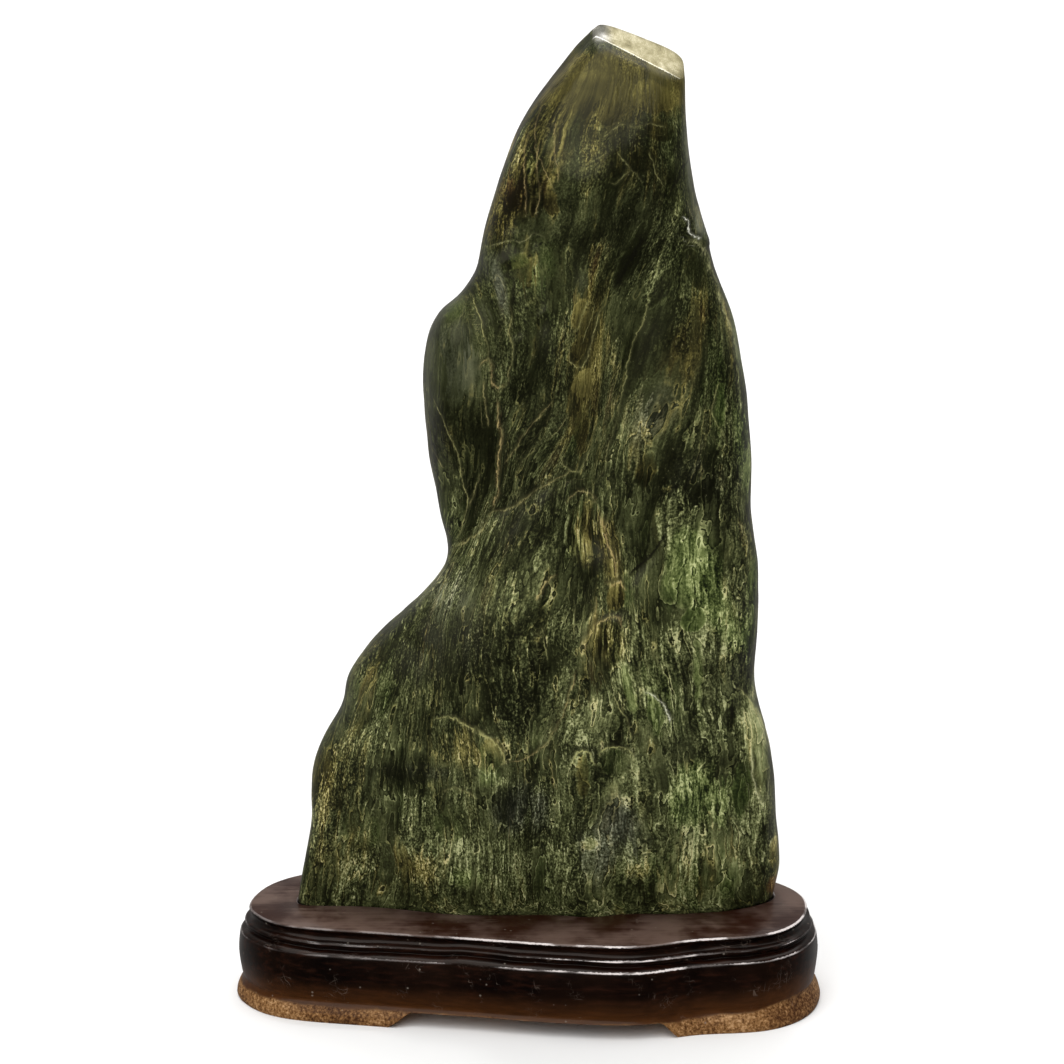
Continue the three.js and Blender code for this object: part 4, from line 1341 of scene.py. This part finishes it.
    def store_lenses(self, skin: Skin) -> None:
        """Stores for each vertex how deep it lies in the lens round it, and what that lens is like."""
        deepest = np.full(len(self.across), -FAR)
        traits = np.zeros((len(self.across), 4))
        for lenses, share in ((LENSES, smooth_step(0.05, -0.25, self.facing)),
                              (self.marks.lenses(), smooth_step(0.15, 0.45, self.facing))):
            for lens in lenses:
                gap_x, gap_z = lens.gaps(self.across, self.height)
                inner = (1.0 - gap_z**2 - np.abs(gap_x) ** 1.5) * min(lens.reach) * self.lens_depth
                inner = np.maximum(inner, -FAR) - self.lens_sink * (1.0 - share)
                nearer = inner > deepest
                deepest = np.where(nearer, inner, deepest)
                traits[nearer] = (lens.tone, lens.olive, lens.fresh, lens.smooth)
                # Painted shading: each lens lighter at its top and darker at its bottom.
                traits[nearer, 0] += self.lens_painted_shading * np.clip(gap_z[nearer], -1.0, 1.0)
        spots = zip(self.across / self.mottle_size, self.height / self.mottle_size)
        mottle = np.array([noise.fractal(Vector((x, 0.0, z)), 0.6, 2.0, 3) for x, z in spots])
        skin.store("lens", [deepest, traits[:, 0], traits[:, 1]])
        skin.store("blade", [traits[:, 2], traits[:, 3], mottle])

    def store_seams(self, skin: Skin) -> None:
        """Stores each vertex's distance from the nearest seam of each layer, and that seam's look."""
        gaps = np.full((3, len(self.across)), FAR)
        forces, warmths = np.zeros_like(gaps), np.zeros_like(gaps)
        for veins, side in ((VEINS, self.front), (self.marks.veins(), self.back)):
            for vein in veins:
                signed, force = self.mark_force(vein, self.seam_reach)
                nearer = (np.abs(signed) < np.abs(gaps[vein.layer] * vein.width)) & (side > 0.5)
                for table, value in ((gaps, signed / vein.width), (forces, force * side),
                                     (warmths, vein.warmth)):
                    table[vein.layer] = np.where(nearer, value, table[vein.layer])
        skin.store("seam_gap", np.clip(gaps, -FAR, FAR))
        skin.store("seam_force", forces)
        skin.store("seam_warmth", warmths)


# ---- The stand ----


@dataclass
class Stand:
    """The wooden stand: a kidney-shaped block with a carved moulding, two feet and a sunk seat."""

    name: str = "carved_stand"
    segments: int = 384
    rows_per_step: int = 4
    shift: tuple[float, float] = (-0.88, 1.241)
    top: float = 47.5
    # The heights between which the knife strayed, and the ridges where it strayed most.
    carved: tuple[float, float] = (2.0, 46.0)
    ridge_height: float = 38.0
    ridge_spread: float = 7.0
    # How far above the plate the stone is cut for the seat, and the least distance of two points.
    seat_cut: float = 0.9
    seat_merge: float = 0.3
    seat_depth: float = 3.7
    seat_gap: float = 0.5
    seat_lip: float = 0.9
    lip_drop: float = 0.5
    foot_height: float = 8.0
    foot_bevel: float = 2.2
    gap_floor: tuple[float, float] = (-70.9, 74.1)
    gap_top: tuple[float, float] = (-59.9, 66.1)
    gap_below: float = 9.0
    gap_half: float = 95.0
    # The right foot's front corner spreads, from a place across over a length, up to a height.
    right_foot_spread: float = 4.0
    spread_from: float = 60.0
    spread_run: float = 90.0
    spread_height: float = 24.0
    limits: tuple[float, float] = (150.7, 71.3)

    def build(self, stone: bpy.types.Object) -> bpy.types.Object:
        """Makes and dresses the stand.

        Args:
            stone: the finished stone, whose outline the seat follows.

        Returns:
            The finished piece.
        """
        bm = bmesh.new()
        ring = bmesh.ops.create_circle(bm, segments=self.segments, radius=1.0)["verts"]
        self.sweep(bm, ring)
        self.sink_seat(bm, stone)
        open_edges = [edge for edge in bm.edges if edge.is_boundary]
        bmesh.ops.triangle_fill(bm, edges=open_edges, use_beauty=True, normal=(0, 0, 1))
        bmesh.ops.recalc_face_normals(bm, faces=bm.faces)
        settle_order(bm)
        mesh = self.cut_feet(mesh_from(bm, "stand_work"))
        piece = finished_object(self.name, mesh, LacquerFinish().build())
        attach(piece, "root")
        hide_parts("stand")
        return piece

    def outline(self) -> list[tuple[Vector, Vector]]:
        """Walks the plate's outline.

        Returns:
            A place and an outward direction for each segment.
        """
        knots = [Vector(knot) for knot in PLATE_OUTLINE]
        count, parts = len(knots), 64
        dense = [curve_spot([knots[(index + step) % count] for step in (-1, 0, 1, 2)], part / parts)
                 for index in range(count) for part in range(parts)]
        runs = [0.0]
        for index, spot in enumerate(dense):
            runs.append(runs[-1] + (dense[(index + 1) % len(dense)] - spot).length)
        at = np.linspace(0.0, runs[-1], self.segments, endpoint=False)
        x, y = (np.interp(at, runs, [spot[axis] for spot in dense + dense[:1]]) for axis in (0, 1))
        way_x, way_y = np.roll(x, -1) - np.roll(x, 1), np.roll(y, -1) - np.roll(y, 1)
        length = np.hypot(way_x, way_y)
        return [(Vector((px + self.shift[0], py + self.shift[1])), Vector((wy / size, -wx / size)))
                for px, py, wx, wy, size in zip(x, y, way_x, way_y, length)]

    def rows(self) -> list[Vector]:
        """The moulding from the plate's rim down to the floor, drawn finer: (out, height) pairs."""
        knots = [Vector(knot) for knot in reversed(MOULDING)]
        knots = [knots[0]] + knots + [knots[-1]]
        fours = zip(knots, knots[1:], knots[2:], knots[3:])
        return [curve_spot(four, part / self.rows_per_step) for four in fours
                for part in range(self.rows_per_step)] + [knots[-1]]

    def carving(self, spot: Vector, height: float) -> tuple[float, float]:
        """How far the knife strayed at a place: outwards and upwards."""
        ridges = math.exp(-(((height - self.ridge_height) / self.ridge_spread) ** 2))
        at = Vector((spot.x / 34.0, spot.y / 34.0, 0.0))
        slow = noise.noise(at + Vector((3.1, 0.0, 7.7)))
        quick = noise.noise(at * 3.1 + Vector((0.0, 5.2, height / 90.0)))
        body = noise.noise(Vector((spot.x / 21.0, spot.y / 21.0, height / 16.0)))
        return 0.5 * ridges * quick + 0.35 * body, ridges * (1.1 * slow + 0.7 * quick)

    def sweep(self, bm: bmesh.types.BMesh, ring: list) -> None:
        """Draws the moulding down from the rim, row by row, and closes it underneath.

        Args:
            bm: the stand's mesh.
            ring: the circle that becomes the rim.
        """
        stations = dict(zip(ring, self.outline()))
        first, *others = self.rows()
        self.lay(stations, first)
        edges = bm.edges[:]
        for row in others:
            stations, edges = pull_ring(bm, edges, stations)
            self.lay(stations, row)
        bmesh.ops.contextual_create(bm, geom=edges)

    def lay(self, stations: dict, row: Vector) -> None:
        """Moves one ring of vertices to its place on the moulding."""
        out, height = row
        carved = self.carved[0] < height < self.carved[1]
        low = 1.0 - min(max(height / self.spread_height, 0.0), 1.0)
        for vert, (spot, way) in stations.items():
            stray_out, stray_up = self.carving(spot, height) if carved else (0.0, 0.0)
            corner = max(0.0, (spot.x - self.spread_from) / self.spread_run) * max(0.0, -way.y)
            reach = out + stray_out + self.right_foot_spread * corner * low
            x, y = (min(max(part + step * reach, -limit), limit)
                    for part, step, limit in zip(spot, way, self.limits))
            vert.co = Vector((x, y, height + stray_up)) * MM

    def sink_seat(self, bm: bmesh.types.BMesh, stone: bpy.types.Object) -> None:
        """Sinks the stone's outline into the plate: a worn lip, a wall and a floor.

        Args:
            bm: the stand's mesh.
            stone: the finished stone.
        """
        cut = bmesh.new()
        cut.from_mesh(stone.data)
        everything = cut.verts[:] + cut.edges[:] + cut.faces[:]
        level = (0, 0, (self.top + self.seat_cut) * MM)
        bmesh.ops.bisect_plane(cut, geom=everything, plane_co=level, plane_no=(0, 0, 1),
                               clear_outer=True, clear_inner=True)
        bmesh.ops.remove_doubles(cut, verts=cut.verts, dist=self.seat_merge * MM)
        centre = sum((vert.co for vert in cut.verts), Vector()) / len(cut.verts)
        ways = {}
        for vert in cut.verts:
            ends = [edge.other_vert(vert).co for edge in vert.link_edges]
            along = ends[0] - ends[-1]
            way = Vector((along.y, -along.x, 0.0)).normalized()
            ways[vert] = way if way.dot(vert.co - centre) > 0 else -way
        for vert, way in ways.items():
            vert.co += way * (self.seat_gap + self.seat_lip) * MM
            vert.co.z = self.top * MM
        ring = cut.edges[:]
        for inward, drop in ((self.seat_lip, self.lip_drop), (0.0, self.seat_depth)):
            ways, ring = pull_ring(cut, ring, ways)
            for vert, way in ways.items():
                vert.co -= way * inward * MM
                vert.co.z -= drop * MM
        bmesh.ops.contextual_create(cut, geom=ring)
        mesh = mesh_from(cut, "seat_work")
        bm.from_mesh(mesh)
        bpy.data.meshes.remove(mesh)

    def cut_feet(self, mesh: bpy.types.Mesh) -> bpy.types.Mesh:
        """Cuts the opening between the two feet, with slanting ends and softened corners."""
        bm = bmesh.new()
        bmesh.ops.create_cube(bm, size=1.0)
        for vert in bm.verts:
            side, low = int(vert.co.x > 0), vert.co.z < 0
            slant = self.gap_floor[side] - self.gap_top[side]
            slant *= 1.0 + self.gap_below / self.foot_height
            x = self.gap_top[side] + (slant if low else 0.0)
            z = -self.gap_below if low else self.foot_height
            vert.co = Vector((x, math.copysign(self.gap_half, vert.co.y), z)) * MM
        corners = [edge for edge in bm.edges if all(vert.co.z > 0 for vert in edge.verts)
                   and abs(edge.verts[0].co.x - edge.verts[1].co.x) < 1e-6]
        bmesh.ops.bevel(bm, geom=corners, offset=self.foot_bevel * MM, offset_type="OFFSET", segments=5,
                        profile=0.5, affect="EDGES", material=-1)
        bmesh.ops.recalc_face_normals(bm, faces=bm.faces)
        tool = add_object("foot_gap", mesh_from(bm, "foot_gap"))
        worker = add_object("stand_work", mesh)
        cutter = worker.modifiers.new("gap", "BOOLEAN")
        cutter.operation, cutter.solver, cutter.object = "DIFFERENCE", "EXACT", tool
        made = settled_mesh(worker)
        bpy.data.objects.remove(tool)
        return made


# ---- Studio ----


@dataclass(frozen=True)
class Lamp:
    """A wide soft light from far away, which falls evenly on the object and the floor."""

    name: str
    comes_from: tuple[float, float, float]
    spread: float
    strength: float

    def build(self) -> None:
        """Hangs the light."""
        data = bpy.data.lights.new(self.name, "SUN")
        data.angle, data.energy = math.radians(self.spread), self.strength
        lamp = add_object(self.name, data)
        lamp.location = self.comes_from
        lamp.rotation_euler = Vector(self.comes_from).to_track_quat("Z", "Y").to_euler()


@dataclass
class Studio:
    """The pale floor, the soft lights and the camera, in metres and degrees."""

    camera_place: tuple[float, float, float] = (0.00134, -1.48276, 0.596)
    camera_tilt: float = 76.61
    lens: float = 103.22
    floor_half: float = 40.0
    flat_reach: float = 6.0
    floor_rise: float = 4.0
    surround_front: tuple = (0.05, 0.048, 0.04, 1.0)
    surround_back: tuple = (0.32, 0.31, 0.30, 1.0)
    surround_top: tuple = (0.32, 0.31, 0.29, 1.0)
    lamps: tuple[Lamp, ...] = (
        Lamp("key_light", (-0.5, -1.1, 1.45), 70.0, 2.2),
        Lamp("top_light", (0.2, 0.5, 1.8), 70.0, 1.9),
        Lamp("glint_light", (-0.15, 0.45, 1.8), 5.0, 0.3),
    )

    def build(self) -> None:
        """Sets up everything round the object."""
        self.hang_camera()
        self.lay_floor()
        for lamp in self.lamps:
            lamp.build()
        self.light_walls()
        bpy.context.scene.view_settings.view_transform = "Standard"

    def light_walls(self) -> None:
        """Makes the room round the object: dark in front, lighter behind and above."""
        world = bpy.data.worlds.new("studio")
        bpy.context.scene.world = world
        world.use_nodes = True
        g = Graph("studio_walls", world.node_tree)
        _, ahead, up = g.wire("Generated", "ShaderNodeTexCoord", {}).parts()
        walls = g.mix(ahead.span(-0.5, 0.8), self.surround_front, self.surround_back)
        walls = g.mix(up.span(0.15, 0.9), walls, self.surround_top)
        g.add("ShaderNodeOutputWorld", {"Surface": g.wire(0, "ShaderNodeBackground", {"Color": walls})})

    def hang_camera(self) -> None:
        """Points the camera at the object from in front and a little above."""
        data = bpy.data.cameras.new("camera")
        data.lens, data.sensor_width = self.lens, 36.0
        data.clip_start, data.clip_end = 0.05, 100.0
        camera = add_object("camera", data)
        camera.location = self.camera_place
        camera.rotation_euler = (math.radians(self.camera_tilt), 0.0, 0.0)
        bpy.context.scene.camera = camera

    def lay_floor(self) -> None:
        """Lays a wide pale floor under the feet, which rises softly far away."""
        bm = bmesh.new()
        bmesh.ops.create_grid(bm, x_segments=40, y_segments=40, size=self.floor_half)
        for vert in bm.verts:
            share = (vert.co.xy.length - self.flat_reach) / (self.floor_half - self.flat_reach)
            vert.co.z = self.floor_rise * max(share, 0.0) ** 2
        floor = finished_object("floor", mesh_from(bm, "floor"), floor_finish())
        floor.visible_glossy = False


def main() -> None:
    """Builds the object and its studio, and reports each piece."""
    logging.basicConfig(level=logging.INFO, format="%(name)s: %(message)s")
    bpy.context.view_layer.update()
    Studio().build()
    stone = Stone().build()
    stand = Stand().build(stone)
    for piece in (stone, stand):
        mesh = piece.data
        LOG.info("%s: %d vertices, %d faces", piece.name, len(mesh.vertices), len(mesh.polygons))


if __name__ == "__main__":
    main()
